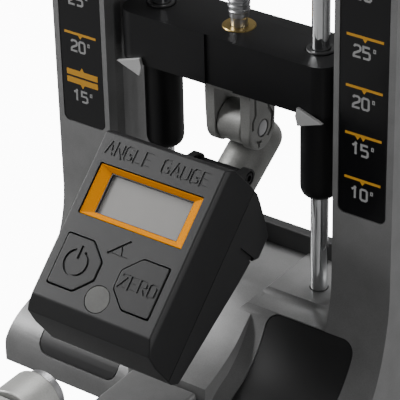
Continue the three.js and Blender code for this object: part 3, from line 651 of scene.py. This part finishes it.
def build_tower():
    right = join(upright(), deck())
    cut(right, foot_slab(-3, 2.2, 3, 0.35))
    body = join(right, mirrored(right), sloping_floor())
    cut(body, block(-14, 14, FOOT_FRONT - 6, 30, 0, 20.1))
    for side, _ in SIDES:
        cut(body, disc(ROD_R + 0.25, LEDGE_Z - 1.2, LEDGE_Z + 4, centre=(side * ROD.x, AXIS_Y - Y0, 0)))
    done(moved(body, TOWER), "casting", "tower", CAST, "tower_casting", sharp=24)
    # the rear rail as its own near black block over the grey casting: painted shade
    rail = block(-POST_INNER - 0.4, POST_INNER + 0.4, RAIL_Y, DEPTH - 0.6, FLOOR_Z, RAIL_TOP)
    done(moved(soften(rail, 0.6, 4, 34), TOWER), "rear_rail", "tower", RAIL_SHADE, sharp=24)


PLATE_FACE = 0.15


def build_scale_plates():
    outline = rounded_rect(PLATE_LOW.x, PLATE_HIGH.x, PLATE_LOW.z, PLATE_HIGH.z, 2.5)
    for side, suffix in SIDES:
        plate = soften(prism(outline, "y", PLATE_FACE, 1.2), 0.2, 2, 60)
        done(placed(plate, side), "scale_panel_" + suffix, "tower", BLACK_GLOSS,
             "scale_plate_" + suffix)


# degrees, and height over the 15 degree mark
MARKS = ((10, -16.8), (15, 0), (20, 17.5), (25, 36), (30, 56.5))
LEFT_DROP = 12.5  # the marks on the left stand this much lower
INK = (-0.1, 0.05)  # low and high side of the printed layer
LINE = 0.95
PRINT_TO_PLATE = Matrix(((1, 0, 0, 0), (0, 0, -1, 0), (0, 1, 0, 0), (0, 0, 0, 1)))


def tick(x, base, rise):
    return prism([(x - 1, base), (x + 1, base), (x, base + rise)], "z", *INK)


def number(degrees, x, height):
    return lettering(str(degrees) + "o", 4.1, 0.8, *INK, (x, height))


def print_scale(suffix, amber, grey):
    skin = Matrix.Translation((0, Y0 + PLATE_FACE, MARK_Z)) @ PRINT_TO_PLATE
    done(moved(merged(amber), skin), "scale_lines_" + suffix, "tower", AMBER_PRINT)
    done(moved(merged(grey), skin), "scale_numbers_" + suffix, "tower", GREY_PRINT)


def build_scale_prints():
    """Marks on the right side have one line each; the left side also has a wide double bar."""
    x0, x1 = PLATE_LOW.x + 2.3, PLATE_HIGH.x - 2.0
    mid = (x0 + x1) / 2
    amber, grey = [], []
    for degrees, height in MARKS:
        amber.append(strip([(x0, height), (x1, height)], LINE, *INK))
        spots = (mid, mid - 2.2) if degrees == 15 else (mid,)
        amber += [tick(x, height - 0.4, -1.4) for x in spots]
        grey += number(degrees, mid + 0.6, height - 5.3)
    print_scale("right", amber, grey)
    amber = [strip([(-x1, height), (-x0, height)], 2.3, *INK) for height in (-10.9, -14.0)]
    amber += [tick(-mid, -9.8, 1.6), tick(-mid, -15.1, -1.6)]
    grey = []
    for degrees, height in MARKS[2:]:
        place = height - LEFT_DROP
        amber.append(strip([(-x1, place), (-x0, place)], LINE, *INK))
        amber.append(tick(-mid, place - 0.4, -1.4))
        grey += number(degrees, -mid + 0.6, place - 4.9)
    grey += number(15, -mid + 0.6, -19.9)
    print_scale("left", amber, grey)


def build_inserts():
    for side, suffix in SIDES:
        pad = soften(foot_slab(0.3, 1.9, 2, 0), 0.4, 3, 45)
        done(placed(pad, side), "foot_pad_" + suffix, "tower", BLACK_PLASTIC,
             "foot_insert_" + suffix, sharp=40)


# ---------- top bridge, underside ----------
def build_bridge():
    low, high = box_mm("top_bridge")
    bridge = prism(rounded_rect(low.x, high.x, low.y, high.y, 2), "z", low.z, high.z)
    nut = middle("bridge_nut")
    cut(bridge, disc(9.05, low.z - 1, high.z + 1, centre=(nut.x, nut.y, 0)))
    for node in ("bridge_screw_1", "bridge_screw_2"):
        spot = middle(node)
        cut(bridge, disc(1.6, low.z - 1, high.z + 1, centre=(spot.x, spot.y, 0), sides=32))
    soften(bridge, 0.8, 3, 40)
    done(bridge, "bridge", "tower", CAST_DARK, "top_bridge", sharp=40)
    collar = ring(9, 4.1, low.z, high.z + 0.3, centre=(nut.x, nut.y, 0), edge=0.35)
    done(collar, "bridge_bush", "tower", BRASS, "bridge_nut")
    for i, node in enumerate(("bridge_screw_1", "bridge_screw_2")):
        build_cap_screw("cap_screw_%d" % (i + 1), "tower", node, high.z)


def hexagon(r):
    return [(r * math.cos(math.radians(60 * i)), r * math.sin(math.radians(60 * i))) for i in range(6)]


def pillar(node, r, edge, sides=48):
    """Upright cylinder on the middle of a node and as tall as it."""
    low, high = box_mm(node)
    spot = (low + high) / 2
    return disc(r, low.z, high.z, centre=(spot.x, spot.y, 0), edge=edge, sides=sides)


def build_cap_screw(name, body, node, seat):
    low, high = box_mm(node)
    spot = (low + high) / 2
    head_r = (high.x - low.x) / 2
    screw = lathe([(0, low.z), (1.3, low.z), (1.5, low.z + 0.4), (1.5, seat), (head_r, seat),
                   (head_r, high.z - 0.4), (head_r - 0.4, high.z), (0, high.z)],
                  centre=(spot.x, spot.y, 0), sides=48)
    socket = prism(hexagon(1.45), "z", high.z - 1.3, high.z + 1)
    cut(screw, moved(socket, Matrix.Translation((spot.x, spot.y, 0))))
    done(screw, name, body, STEEL, node)


def build_underside():
    low, high = box_mm("base_plate")
    plate = prism(rounded_rect(low.x, high.x, low.y, high.y, 4), "z", low.z, high.z)
    done(soften(plate, 0.3, 2, 40), "bottom_plate", "tower", STEEL, "base_plate")
    for corner in ("front_right", "front_left", "rear_right", "rear_left", "nose_right", "nose_left"):
        done(pillar("foot_" + corner, 7, 0.4), "pad_" + corner, "tower", RUBBER, "foot_" + corner)


# ---------- rods, crossbar and what it carries ----------
def build_rods():
    for _, suffix in SIDES:
        node = "guide_rod_" + suffix
        done(pillar(node, ROD_R, 0.3, 96), "rod_" + suffix, "tower", CHROME, node)


def build_crossbar():
    low, high = BAR_LOW, BAR_HIGH
    bar = prism(rounded_rect(low.x, high.x, low.y, high.y, 7, 12), "z", low.z, high.z)
    cut(bar, block(-5.75, 5.75, low.y - 1, low.y + 0.8, low.z - 1, high.z + 1))
    cut(bar, disc(6, low.z + 8, high.z + 1, centre=(0, AXIS_Y, 0)))
    cut(bar, disc(3.05, low.z - 1, low.z + 9, centre=(0, AXIS_Y, 0), sides=48))
    for side, _ in SIDES:
        cut(bar, disc(5.35, high.z - 1.2, high.z + 1, centre=(side * ROD.x, AXIS_Y, 0)))
        cut(bar, disc(5, low.z - 1, high.z + 1, centre=(side * ROD.x, AXIS_Y, 0)))
    done(soften(bar, 0.45, 3, 40), "bar", "crossbar", BLACK_METAL, "crossbar", sharp=40)
    for side, suffix in SIDES:
        build_bar_end(side, suffix)
    low, high = box_mm("thrust_bush")
    bush = ring(5.95, 3.1, low.z, high.z, centre=(0, AXIS_Y, 0), edge=0.25)
    done(bush, "thrust_washer", "crossbar", BRASS, "thrust_bush")


SLEEVE_R = 6.9
POINTER_OUTLINE = ((33, -3.9), (42.9, -0.4), (32.8, 3), (32, -0.2))


def build_bar_end(side, suffix):
    """Bush, sleeve and pointer at one end of the crossbar."""
    centre = (side * ROD.x, AXIS_Y, 0)
    low, high = box_mm("slide_bush_" + suffix)
    bush = ring(5, ROD_R + 0.12, low.z, high.z, centre=centre, edge=0.3)
    done(bush, "bush_" + suffix, "crossbar", BLACK_PLASTIC, "slide_bush_" + suffix)
    low, high = box_mm("rod_sleeve_" + suffix)
    bore = ROD_R + 0.1
    nose = bezier([(4.1, low.z), (5.9, low.z + 0.4), (SLEEVE_R, low.z + 1.8), (SLEEVE_R, low.z + 4.6)], 10)
    sleeve = lathe([(bore, low.z)] + nose + [(SLEEVE_R, high.z), (bore, high.z)], centre=centre)
    done(sleeve, "sleeve_" + suffix, "crossbar", BLACK_METAL, "rod_sleeve_" + suffix)
    low, high = box_mm("pointer_" + suffix)
    blade = prism([(x, MARK_Z + z) for x, z in POINTER_OUTLINE], "y", low.y, high.y)
    if side < 0:
        moved(blade, MIRROR)
    done(soften(blade, 0.22, 2, 40), "pointer_blade_" + suffix, "crossbar", POINTER,
         "pointer_" + suffix)


def build_adjuster():
    low, high = box_mm("adjusting_screw")
    knob_low, knob_high = box_mm("adjusting_knob")
    top = knob_low.z + 9
    thread_low, thread_high = BAR_HIGH.z + 4.5, knob_low.z - 0.5
    core = lathe([(0, low.z), (5, low.z), (5, BAR_HIGH.z - 6.4), (3, BAR_HIGH.z - 6.2), (3, BAR_HIGH.z + 3.2),
                  (3.45, BAR_HIGH.z + 3.8), (3.45, thread_high), (3.9, thread_high + 0.3),
                  (3.9, top), (0, top)],
                 centre=(0, AXIS_Y, 0))
    done(core, "screw_core", "adjuster", STEEL, "adjusting_screw")
    thread = helix(3.3, 3.97, 1.1, 2.0, thread_low, thread_high)
    moved(thread, Matrix.Translation((0, AXIS_Y, 0)))
    done(thread, "screw_thread", "adjuster", STEEL, sharp=25)
    radius = (knob_high.x - knob_low.x) / 2 + 0.5
    knob = fluted_knob(radius, 1.6, 12, knob_low.z, knob_high.z, 1.1)
    cut(knob, disc(9.05, knob_high.z - 1.2, knob_high.z + 1))
    moved(knob, Matrix.Translation((0, AXIS_Y, 0)))
    done(knob, "knob", "adjuster", BLACK_PLASTIC, "adjusting_knob", sharp=40)
    low, high = box_mm("knob_cap")
    cap = disc(8.95, low.z, high.z, centre=(0, AXIS_Y, 0), edge=0.3)
    done(cap, "knob_disc", "adjuster", AMBER, "knob_cap")


def both_ends(half):
    """Profile of a turned pin that ends the same way on both sides of its middle."""
    return half + [(r, -h) for r, h in reversed(half)]


def helix(root, crest, half, pitch, low, high, sides=28):
    """A V thread of the given pitch as one closed ridge."""
    turns = (high - low) / pitch
    steps = int(turns * sides)
    verts, faces = [], []
    section = [(root, -pitch * 0.42), (crest, -pitch * 0.1), (crest, pitch * 0.1), (root, pitch * 0.42)]
    for i in range(steps + 1):
        angle = 2 * math.pi * i / sides
        z = low + pitch * i / sides
        fade = min(1, i / sides, (steps - i) / sides)
        for r, dz in section:
            reach = root + (r - root) * fade
            verts.append((reach * math.cos(angle), reach * math.sin(angle), z + dz * (0.4 + 0.6 * fade)))
    for i in range(steps):
        a, b = 4 * i, 4 * (i + 1)
        for j in range(4):
            k = (j + 1) % 4
            faces.append([a + j, a + k, b + k, b + j])
    faces.append([0, 1, 2, 3])
    faces.append([4 * steps + j for j in (3, 2, 1, 0)])
    return mesh_object(verts, faces)


def fluted_knob(radius, flute, lobes, low, high, edge):
    """A knob with smooth flutes and rounded rims."""
    count = lobes * 12
    outline = []
    for i in range(count):
        angle = 2 * math.pi * i / count
        dip = flute * max(0, math.cos(lobes * angle)) ** 1.6
        outline.append((angle, radius - dip))
    rims = [(low + edge * (1 - math.sin(t)), edge * (1 - math.cos(t))) for t in
            (math.pi / 2 * i / 4 for i in range(4, -1, -1))]
    levels = rims + [(high - (z - low), inset) for z, inset in reversed(rims)]
    verts = [((r - inset) * math.cos(a), (r - inset) * math.sin(a), z)
             for z, inset in levels for a, r in outline]
    faces = [list(range(count)), list(range(len(verts) - count, len(verts)))]
    for level in range(len(levels) - 1):
        base = level * count
        faces += [[base + i, base + (i + 1) % count, base + count + (i + 1) % count, base + count + i]
                  for i in range(count)]
    return mesh_object(verts, faces)


# ---------- clevis and guide tube ----------
EAR_HALF = 9.5
EAR_INNER = 5.5


# slots in an ear that start at the top and bend around the pin, and a forked notch below it: line, width
EAR_SLOTS = (
    ([(-4.6, 14.5), (-4.4, 6.8), (-6.1, 4.6), (-6.2, 1.4)], 1.3),
    ([(3.6, 14.5), (3.6, 6.6), (5.9, 3.4), (5.2, -1.8), (3.0, -4.2)], 1.3),
    ([(-4.3, -3.4), (-2.7, -4.7), (-0.9, -4.9)], 1.1),
    ([(-2.7, -4.7), (-2.4, -6.7)], 1.1),
)
PLACE_ON_EAR = Matrix(((0, 0, 1, 0), (1, 0, 0, 0), (0, 1, 0, 0), (0, 0, 0, 1)))
TUBE_DROP = 15.5
TUBE_R = 8.3
TUBE_REAR = 10
TUBE_FRONT = -74.5


def build_clevis():
    low, high = box_mm("clevis")
    r = (high.y - low.y) / 2
    mid = (low.y + high.y) / 2
    outline = [(mid + r, high.z), (mid - r, high.z)] + arc(mid, low.z + r, r, 180, 360, 24)
    body = prism(outline, "x", -EAR_HALF, EAR_HALF)
    round_edges(body, lambda p: p.z < high.z - 0.01, 0.9, 4)
    cut(body, block(-EAR_INNER, EAR_INNER, low.y - 1, high.y + 1, low.z - 1, high.z - 3.5),
        disc(PIN_R + 0.05, -20, 20, "x", (0, PIN.y, PIN.z)),
        disc(3.02, high.z - 5, high.z + 1, centre=(0, PIN.y, 0)))
    for side, _ in SIDES:
        place = Matrix.Translation((side * EAR_HALF, PIN.y, PIN.z)) @ PLACE_ON_EAR
        for points, width in EAR_SLOTS:
            cut(body, moved(strip(points, width, -1.1, 1.1), place))
        cut(body, moved(disc(PIN_R + 0.4, -0.8, 0.8, sides=64), place))
    done(body, "fork", "clevis", CAST_DARK, "clevis", sharp=40)
    low, high = box_mm("swivel_pin")
    pin = lathe([(0, low.z), (2.95, low.z), (2.95, high.z - 1.3), (4.6, high.z - 1.3), (4.6, high.z - 0.3),
                 (4.3, high.z), (0, high.z)], centre=(0, PIN.y, 0), sides=48)
    done(pin, "swivel_stud", "clevis", STEEL, "swivel_pin")
    low, high = box_mm("pitch_pin")
    half = [(0, low.x), (2.3, low.x), (2.85, low.x + 0.25), (PIN_R, low.x + 0.7)]
    axle = lathe(both_ends(half), "x", (0, PIN.y, PIN.z), 48)
    done(axle, "pitch_axle", "clevis", STEEL, "pitch_pin")


def build_tube():
    """One casting: tube, barrel on the pitch pin, and the web that tapers between them."""
    rear = bezier([(TUBE_REAR, 0), (TUBE_REAR, TUBE_R), (TUBE_REAR - 6.5, TUBE_R)], 10)
    profile = [(0, TUBE_FRONT), (TUBE_R - 0.4, TUBE_FRONT), (TUBE_R, TUBE_FRONT + 0.4)]
    profile += [(r, y) for y, r in reversed(rear)]
    tube = moved(lathe(profile, "y"), Matrix.Translation((0, 0, -TUBE_DROP)))
    barrel = disc(7.5, -5.2, 5.2, "x", edge=0.5)
    web = prism([(-6.4, -TUBE_DROP + 5), (6.4, -TUBE_DROP + 5), (4.4, -8), (4.2, 1), (-5.2, 1), (-5.2, -8)],
                "x", -4.4, 4.4)
    body = join(tube, barrel, web)
    melt(body, 0.36, 6)
    cut(body, disc(PIN_R + 0.06, -20, 20, "x"),
        disc(5, TUBE_FRONT - 1, TUBE_REAR + 1, "y", (0, 0, -TUBE_DROP)))
    done(moved(body, ARM), "tube_casting", "arm", CAST_DARK, "guide_tube", sharp=50)
    for name, start in (("rear_liner", TUBE_REAR - 16), ("front_liner", TUBE_FRONT + 1)):
        liner = ring(4.7, 3.4, start, start + 15, "y", (0, 0, -TUBE_DROP), 0.3, 64)
        done(moved(liner, ARM), name + "_bush", "arm", BLACK_PLASTIC, name)


# ---------- digital indicator, in its own axes ----------
FACE_HALF = 24.8
CASE_HALF = 25.6
FACE_TOP = 30.2
FACE_BOTTOM = -30.4
PARTING = -21
CASE_SIDE = [(FACE_TOP, 0), (32.2, -5), (31.7, -16.5), (31, -24.5), (29.4, -28.5), (25.8, -36), (22.5, -42),
             (20.6, -45.2), (18.5, -46), (14.3, -44.5), (11.6, -41), (10.8, -39.2), (1.7, -37.6),
             (-16.5, -33.2), (-38.4, -28), (-39.8, -24), (-38, -10), (-36, -3), (FACE_BOTTOM, 0)]
CASE_SECTION = [(FACE_HALF, 0), (CASE_HALF, -2), (CASE_HALF, -43), (CASE_HALF - 3, -48),
                (-CASE_HALF + 3, -48), (-CASE_HALF, -43), (-CASE_HALF, -2), (-FACE_HALF, 0)]
WINDOW = (-21.2, 21.2, 0.8, 19.2)
OPENING = (-16.7, 17.4, 2.8, 17.4)
BUTTON = [(10.3, -6.8), (4.2, -12.6), (4.2, -19.2), (10.3, -25), (21, -25), (21, -6.8)]
BUTTON_MID = Vector((12.8, -15.9))
HOOK = (37.8, -38.2)
DISC_R = 4.7
ARM_IN_FACE = FACE.inverted() @ ARM


def case_body():
    body = common(prism(CASE_SIDE, "x", -30, 30), prism(CASE_SECTION, "y", -60, 60))
    return soften(body, 0.5, 3, 18)


def case_cavity():
    side = [(28.4, -2.2), (29.3, -8), (28.6, -17), (28, -24), (26, -28), (2, -28), (-20, -26.5),
            (-36.8, -23.5), (-35.4, -10), (-33.6, -5), (-29, -2.2)]
    return prism(side, "x", -FACE_HALF + 2.2, FACE_HALF - 2.2)


def rounded_polygon(points, r, steps=4):
    """The outline with every corner rounded."""
    result = []
    n = len(points)
    for i, p in enumerate(points):
        here = Vector(p)
        before = (Vector(points[i - 1]) - here).normalized()
        after = (Vector(points[(i + 1) % n]) - here).normalized()
        result += bezier([here + before * r, here, here + after * r], steps)
    return result


def button_outline(grow):
    scaled = [BUTTON_MID + Vector(((x - BUTTON_MID.x) * (1 + grow / 8.4),
                                   (y - BUTTON_MID.y) * (1 + grow / 9.1))) for x, y in BUTTON]
    return rounded_polygon(scaled, 0.9)


def build_front_shell():
    body = common(case_body(), block(-40, 40, -60, 60, PARTING, 1))
    cut(body, case_cavity())
    window = rounded_rect(WINDOW[0] - 0.35, WINDOW[1] + 0.25, WINDOW[2] - 0.25, WINDOW[3] + 0.35, 0.5, 3)
    cut(body, prism(window, "z", -3.3, 1))
    hole = prism(button_outline(0.42), "z", -3.3, 1)
    other = mirrored(hole)
    cut(body, hole, other)
    cut(body, disc(DISC_R + 0.2, -1.2, 1, centre=(0, DISC_Y, 0)))
    for tool in lettering("ANGLE GAUGE", 4.6, 0.75, -0.28, 0.5, (-0.4, 25.0), 0.82, 1.04):
        cut(body, tool)
    # a plain angle sign: two legs and an arc
    cut(body, strip([(4.2, -8.6), (-3.6, -8.6), (3.0, -2.6)], 0.7, -0.45, 0.5))
    cut(body, arc_band(-3.6, -8.6, 5.2, 0.5, 4, 38, -0.45, 0.5, 8))
    moved(body, FACE)
    done(body, "front_shell", "arm", GREY_PLASTIC, "indicator_front_shell", sharp=38)


def build_rear_shell():
    body = common(case_body(), block(-40, 40, -60, 60, -60, PARTING - 0.3))
    lug_side = rounded_polygon([(25, -27), (27, -33), (35.4, -40.4), (37.8, -41.6), (40.6, -40.4),
                                (41.2, -38), (40.6, -36), (30.2, -25)], 0.8, 3)
    for side in (1, -1):
        lug = prism(lug_side, "x", *sorted((side * 9.2, side * 12)))
        join(body, lug)
    cut(body, case_cavity())
    cut(body, disc(2.5, -20, 20, "x", (0, HOOK[0], HOOK[1]), sides=48))
    clearance = disc(TUBE_R + 0.3, TUBE_FRONT - 40, TUBE_REAR + 20, "y", (0, 0, -TUBE_DROP), sides=64)
    cut(body, moved(clearance, ARM_IN_FACE))
    cut(body, moved(block(-EAR_HALF - 1, EAR_HALF + 1, -9, 40, -TUBE_DROP, 40), ARM_IN_FACE))
    cut(body, block(CASE_HALF - 1.1, 40, 10.6, 12.4, -40, -29),
        block(-40, -CASE_HALF + 1.1, 10.6, 12.4, -40, -29))
    moved(body, FACE)
    done(body, "rear_shell", "arm", BLACK_PLASTIC, "indicator_rear_shell", sharp=38)
    half = [(0, -11.1), (1.15, -11.1), (1.15, -12), (1.9, -12), (2.2, -11.7)]
    pin = lathe(both_ends(half), "x", (0, *HOOK), 64)
    done(moved(pin, FACE), "hinge_pin", "arm", BLACK_METAL, "hook_pin")


def frame_rings(rings):
    """A four-sided frame whose cross-section runs through rings, each [x0, x1, y0, y1, z]."""
    verts, faces = [], []
    for x0, x1, y0, y1, z in rings:
        verts += [(x0, y0, z), (x1, y0, z), (x1, y1, z), (x0, y1, z)]
    n = len(rings)
    for i in range(n):
        a, b = 4 * i, 4 * ((i + 1) % n)
        faces += [[a + j, a + (j + 1) % 4, b + (j + 1) % 4, b + j] for j in range(4)]
    return mesh_object(verts, faces)


def build_screen():
    x0, x1, y0, y1 = WINDOW
    frame_piece = frame_rings([
        (x0, x1, y0, y1, -2.6), (x0, x1, y0, y1, -0.5), (x0 + 0.3, x1 - 0.3, y0 + 0.3, y1 - 0.3, -0.5),
        (*OPENING, -2.1), (*OPENING, -2.6)])
    soften(frame_piece, 0.1, 2, 20)
    done(moved(frame_piece, FACE), "screen_frame", "arm", AMBER, "lcd_bezel", sharp=30)
    # black liner inside the screen opening, wider on the left and top: painted shade of the shadow gap in the
    # recess
    liner = block(OPENING[0] + 0.02, OPENING[1] - 0.02, OPENING[2] + 0.02, OPENING[3] - 0.02, -3.15, -2.15)
    cut(liner, block(OPENING[0] + 0.35, OPENING[1] - 0.2, OPENING[2] + 0.2, OPENING[3] - 0.35, -4, 1))
    soften(liner, 0.05, 1, 50)
    done(moved(liner, FACE), "screen_shadow_liner", "arm", BLACK_PLASTIC)
    panel = block(-20, 20, 1.6, 18.4, -4.6, -3.2)
    soften(panel, 0.25, 2, 50)
    done(moved(panel, FACE), "screen", "arm", LCD, "lcd_panel")


def button_piece():
    body = prism(button_outline(-0.05), "z", -3.3, 0.35)
    soften(body, 0.3, 3, 50)
    return body


def build_buttons():
    zero = button_piece()
    for tool in lettering("ZERO", 4.3, 0.75, 0.05, 0.8, (12.7, -15.9), 0.86, 1.05):
        cut(zero, tool)
    join(zero, disc(2.5, -7.6, -3.1, centre=(BUTTON_MID.x, BUTTON_MID.y, 0), sides=32))
    done(moved(zero, FACE), "zero_key", "zero_button", BUTTON_PLASTIC, "zero_button", sharp=38)
    power = moved(button_piece(), MIRROR)
    centre = (-13.4, -15.7)
    cut(power, arc_band(centre[0], centre[1], 4.6, 0.8, 112, 428, -0.15, 0.8))
    cut(power, strip([(centre[0], centre[1] + 1.4), (centre[0], centre[1] + 6.2)], 0.9, -0.15, 0.8))
    join(power, disc(2.5, -7.6, -3.1, centre=(-BUTTON_MID.x, BUTTON_MID.y, 0), sides=32))
    done(moved(power, FACE), "power_key", "power_button", BUTTON_PLASTIC, "power_button", sharp=38)


def build_face_disc():
    plate = disc(DISC_R - 0.02, -0.9, -0.08, centre=(0, DISC_Y, 0), edge=0.12, sides=96)
    done(moved(plate, FACE), "magnet_disc", "arm", DISC_METAL, "face_disc")


def build_inside():
    """The pieces inside the indicator's case."""
    board = prism(rounded_rect(-20.5, 20.5, -28, 26, 1.5, 4), "z", -10.2, -8.6)
    done(moved(soften(board, 0.1, 1, 50), FACE), "board_piece", "arm", BOARD, "circuit_board")
    cell = disc(10, -14.2, -11, centre=(0, -14, 0), edge=0.5, sides=64)
    done(moved(cell, FACE), "cell", "arm", STEEL, "coin_cell")
    holder = ring(12, 10.3, -13.6, -10.5, centre=(0, -14, 0), edge=0.3, sides=64)
    done(moved(holder, FACE), "cell_ring", "arm", BLACK_PLASTIC, "cell_holder")
    sensor = prism(rounded_rect(-6, 6, 8, 18, 0.5, 3), "z", -12.5, -10.5)
    done(moved(soften(sensor, 0.15, 1, 50), FACE), "sensor", "arm", BLACK_PLASTIC, "tilt_sensor")


# ---------- forward beam and blade clamp ----------
POST_SCREWS = [middle("post_screw_1"), middle("post_screw_2")]
POST_FRONT = box_mm("clamp_post")[0].y
POST_R = 10
SHAFT_Z = box_mm("clamp_post")[1].z - POST_R
JAW_SCREW_Y = middle("clamp_screw").y
BEAM_HALF = 13.9
BEAM_LEDGE = 20  # height of the beam where it runs in under the casting


def build_beam():
    low, high = box_mm("forward_beam")
    step = FOOT_FRONT - 0.4
    nose = low.y - Y0
    side = [(29.5, BASE_Z), (29.5, BEAM_LEDGE), (step, BEAM_LEDGE), (step, high.z), (nose + 3, high.z)]
    side += bezier([(nose + 3, high.z), (nose, high.z), (nose, high.z - 4)], 6)[1:]
    side.append((nose, BASE_Z))
    beam = prism(side, "x", -BEAM_HALF, BEAM_HALF)
    join(beam, prism(rounded_rect(low.x, high.x, nose, -108, 6), "z", BASE_Z, 12))
    soften(beam, 1.2, 4, 40)
    for spot in POST_SCREWS:
        cut(beam, disc(2.05, 0, high.z + 1, centre=(0, spot.y - Y0, 0), sides=32),
            disc(4, 0, 8, centre=(0, spot.y - Y0, 0), sides=32))
    done(moved(beam, TOWER), "beam", "tower", CAST, "forward_beam", sharp=40)
    for i, spot in enumerate(POST_SCREWS):
        node = "post_screw_%d" % (i + 1)
        low, high = box_mm(node)
        screw = lathe([(0, low.z), (3.3, low.z), (3.6, low.z + 0.3), (3.6, low.z + 4), (2, low.z + 4),
                       (2, high.z - 0.4), (1.6, high.z), (0, high.z)], centre=(0, spot.y, 0), sides=48)
        socket = prism(hexagon(1.7), "z", low.z - 1, low.z + 1.6)
        cut(screw, moved(socket, Matrix.Translation((0, spot.y, 0))))
        done(screw, "foot_screw_%d" % (i + 1), "tower", STEEL, node)


def build_clamp_post():
    low, high = box_mm("clamp_post")
    outline = [(12, low.z), (10, low.z + 7.9), (POST_R, SHAFT_Z)] + arc(0, SHAFT_Z, POST_R, 0, 180, 24)[1:]
    outline += [(-10, low.z + 7.9), (-12, low.z)]
    post = soften(prism(outline, "y", low.y, high.y), 0.8, 3, 40)
    cut(post, disc(5.05, low.y - 1, high.y + 1, "y", (0, 0, SHAFT_Z)))
    for spot in POST_SCREWS:
        cut(post, disc(2.05, low.z - 1, low.z + 9.1, centre=(0, spot.y, 0), sides=32))
    done(post, "post", "tower", CAST_DARK, "clamp_post", sharp=40)


def build_jaws():
    low, high = box_mm("clamp_shaft_and_jaw")
    upper_low, upper_high = box_mm("upper_jaw")
    back = upper_high.y + 1.5
    floor_z = 2 * SHAFT_Z - upper_low.z
    lower = prism([(back, floor_z - 6), (back, floor_z), (low.y, floor_z), (low.y, floor_z - 2),
                   (low.y + 12, floor_z - 6)], "x", low.x, high.x)
    join(lower, block(-10, 10, back - 1, POST_FRONT - 0.4, SHAFT_Z - 8, SHAFT_Z + 8))
    soften(lower, 0.6, 3, 40)
    join(lower, disc(5, back - 0.5, high.y, "y", (0, 0, SHAFT_Z), 0.4))
    upper = prism([(upper_high.y, upper_low.z), (upper_high.y, upper_high.z), (low.y + 12, upper_high.z),
                   (low.y, upper_low.z + 2), (low.y, upper_low.z)], "x", upper_low.x, upper_high.x)
    soften(upper, 0.6, 3, 40)
    bores = [(2.55, (0, JAW_SCREW_Y, 0))]
    for _, suffix in SIDES:
        guide = middle("jaw_guide_" + suffix)
        bores.append((2.05, (guide.x, guide.y, 0)))
    for jaw in (lower, upper):
        for r, centre in bores:
            cut(jaw, disc(r, SHAFT_Z - 30, SHAFT_Z + 40, centre=centre, sides=48))
    done(lower, "lower_jaw_and_shaft", "clamp_head", CAST_DARK, "clamp_shaft_and_jaw", sharp=40)
    done(upper, "upper_jaw_piece", "upper_jaw", CAST_DARK, "upper_jaw", sharp=40)


def build_clamp_fittings():
    low, high = box_mm("shaft_collar")
    collar = ring(8, 5.02, low.y, high.y, "y", (0, 0, SHAFT_Z), 0.35)
    done(collar, "collar", "clamp_head", STEEL, "shaft_collar")
    for _, suffix in SIDES:
        node = "jaw_guide_" + suffix
        done(pillar(node, 2, 0.35), "jaw_pin_" + suffix, "clamp_head", STEEL, node)
    low, high = box_mm("clamp_screw")
    stem = disc(2.5, low.z, high.z, centre=(0, JAW_SCREW_Y, 0), edge=0.3, sides=48)
    done(stem, "jaw_screw", "clamp_wheel", STEEL, "clamp_screw")
    low, high = box_mm("clamp_wheel")
    wheel = fluted_knob((high.x - low.x) / 2 + 0.3, 1, 12, low.z, high.z, 0.8)
    cut(wheel, disc(2.5, low.z - 1, low.z + 6, sides=48))
    done(moved(wheel, Matrix.Translation((0, JAW_SCREW_Y, 0))), "wheel", "clamp_wheel", BLACK_PLASTIC,
         "clamp_wheel", sharp=40)


# ---------- build everything ----------
build_tower()
build_scale_plates()
build_scale_prints()
build_inserts()
build_bridge()
build_underside()
build_rods()
build_crossbar()
build_adjuster()
build_clevis()
build_tube()
build_front_shell()
build_rear_shell()
build_screen()
build_buttons()
build_face_disc()
build_inside()
build_beam()
build_clamp_post()
build_jaws()
build_clamp_fittings()

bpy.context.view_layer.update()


# ---------- stage, light and camera ----------
def build_stage():
    floor_mesh = bpy.data.meshes.new("floor")
    floor_mesh.from_pydata([(-40, -40, 0), (40, -40, 0), (40, 40, 0), (-40, 40, 0)], [], [(0, 1, 2, 3)])
    floor = bpy.data.objects.new("floor", floor_mesh)
    bpy.context.scene.collection.objects.link(floor)
    floor.data.materials.append(FLOOR)
    world = bpy.data.worlds.new("studio")
    bpy.context.scene.world = world
    world.use_nodes = True
    world.node_tree.nodes["Background"].inputs["Color"].default_value = (1, 1, 1, 1)
    world.node_tree.nodes["Background"].inputs["Strength"].default_value = 0.16


def area_light(name, spot, target, size, power):
    light = bpy.data.lights.new(name, "AREA")
    light.shape = "RECTANGLE"
    light.size, light.size_y = size
    light.energy = power
    obj = bpy.data.objects.new(name, light)
    bpy.context.scene.collection.objects.link(obj)
    obj.location = spot
    obj.rotation_euler = (Vector(target) - Vector(spot)).to_track_quat("-Z", "Y").to_euler()
    return obj


def build_camera():
    camera = bpy.data.objects.new("camera", bpy.data.cameras.new("camera"))
    bpy.context.scene.collection.objects.link(camera)
    # the camera's own axes: across the picture, up it, and back from it
    right = Vector((0.8131, 0.5817, -0.0210))
    up = Vector((-0.2833, 0.4270, 0.8587))
    back = right.cross(up).normalized()
    up = back.cross(right).normalized()
    turn = Matrix((right.normalized(), up, back)).transposed().to_4x4()
    camera.matrix_world = Matrix.Translation((0.3835, -0.4739, 0.4721)) @ turn
    camera.data.sensor_width = 36
    camera.data.lens = 195.84
    camera.data.clip_start = 0.02
    bpy.context.scene.camera = camera


build_stage()
area_light("key", (-0.95, -0.3, 0.62), (0, -0.02, 0.1), (0.5, 0.5), 23)
area_light("top", (-0.1, 0.35, 1.2), (0, 0.04, 0.1), (0.8, 0.6), 20)
area_light("side", (1.2, 0.25, 0.45), (0.05, 0.05, 0.1), (0.3, 0.9), 8)
area_light("strip", (0.92, -0.45, 0.3), (0.03, 0, 0.1), (0.1, 0.8), 2.5)
build_camera()
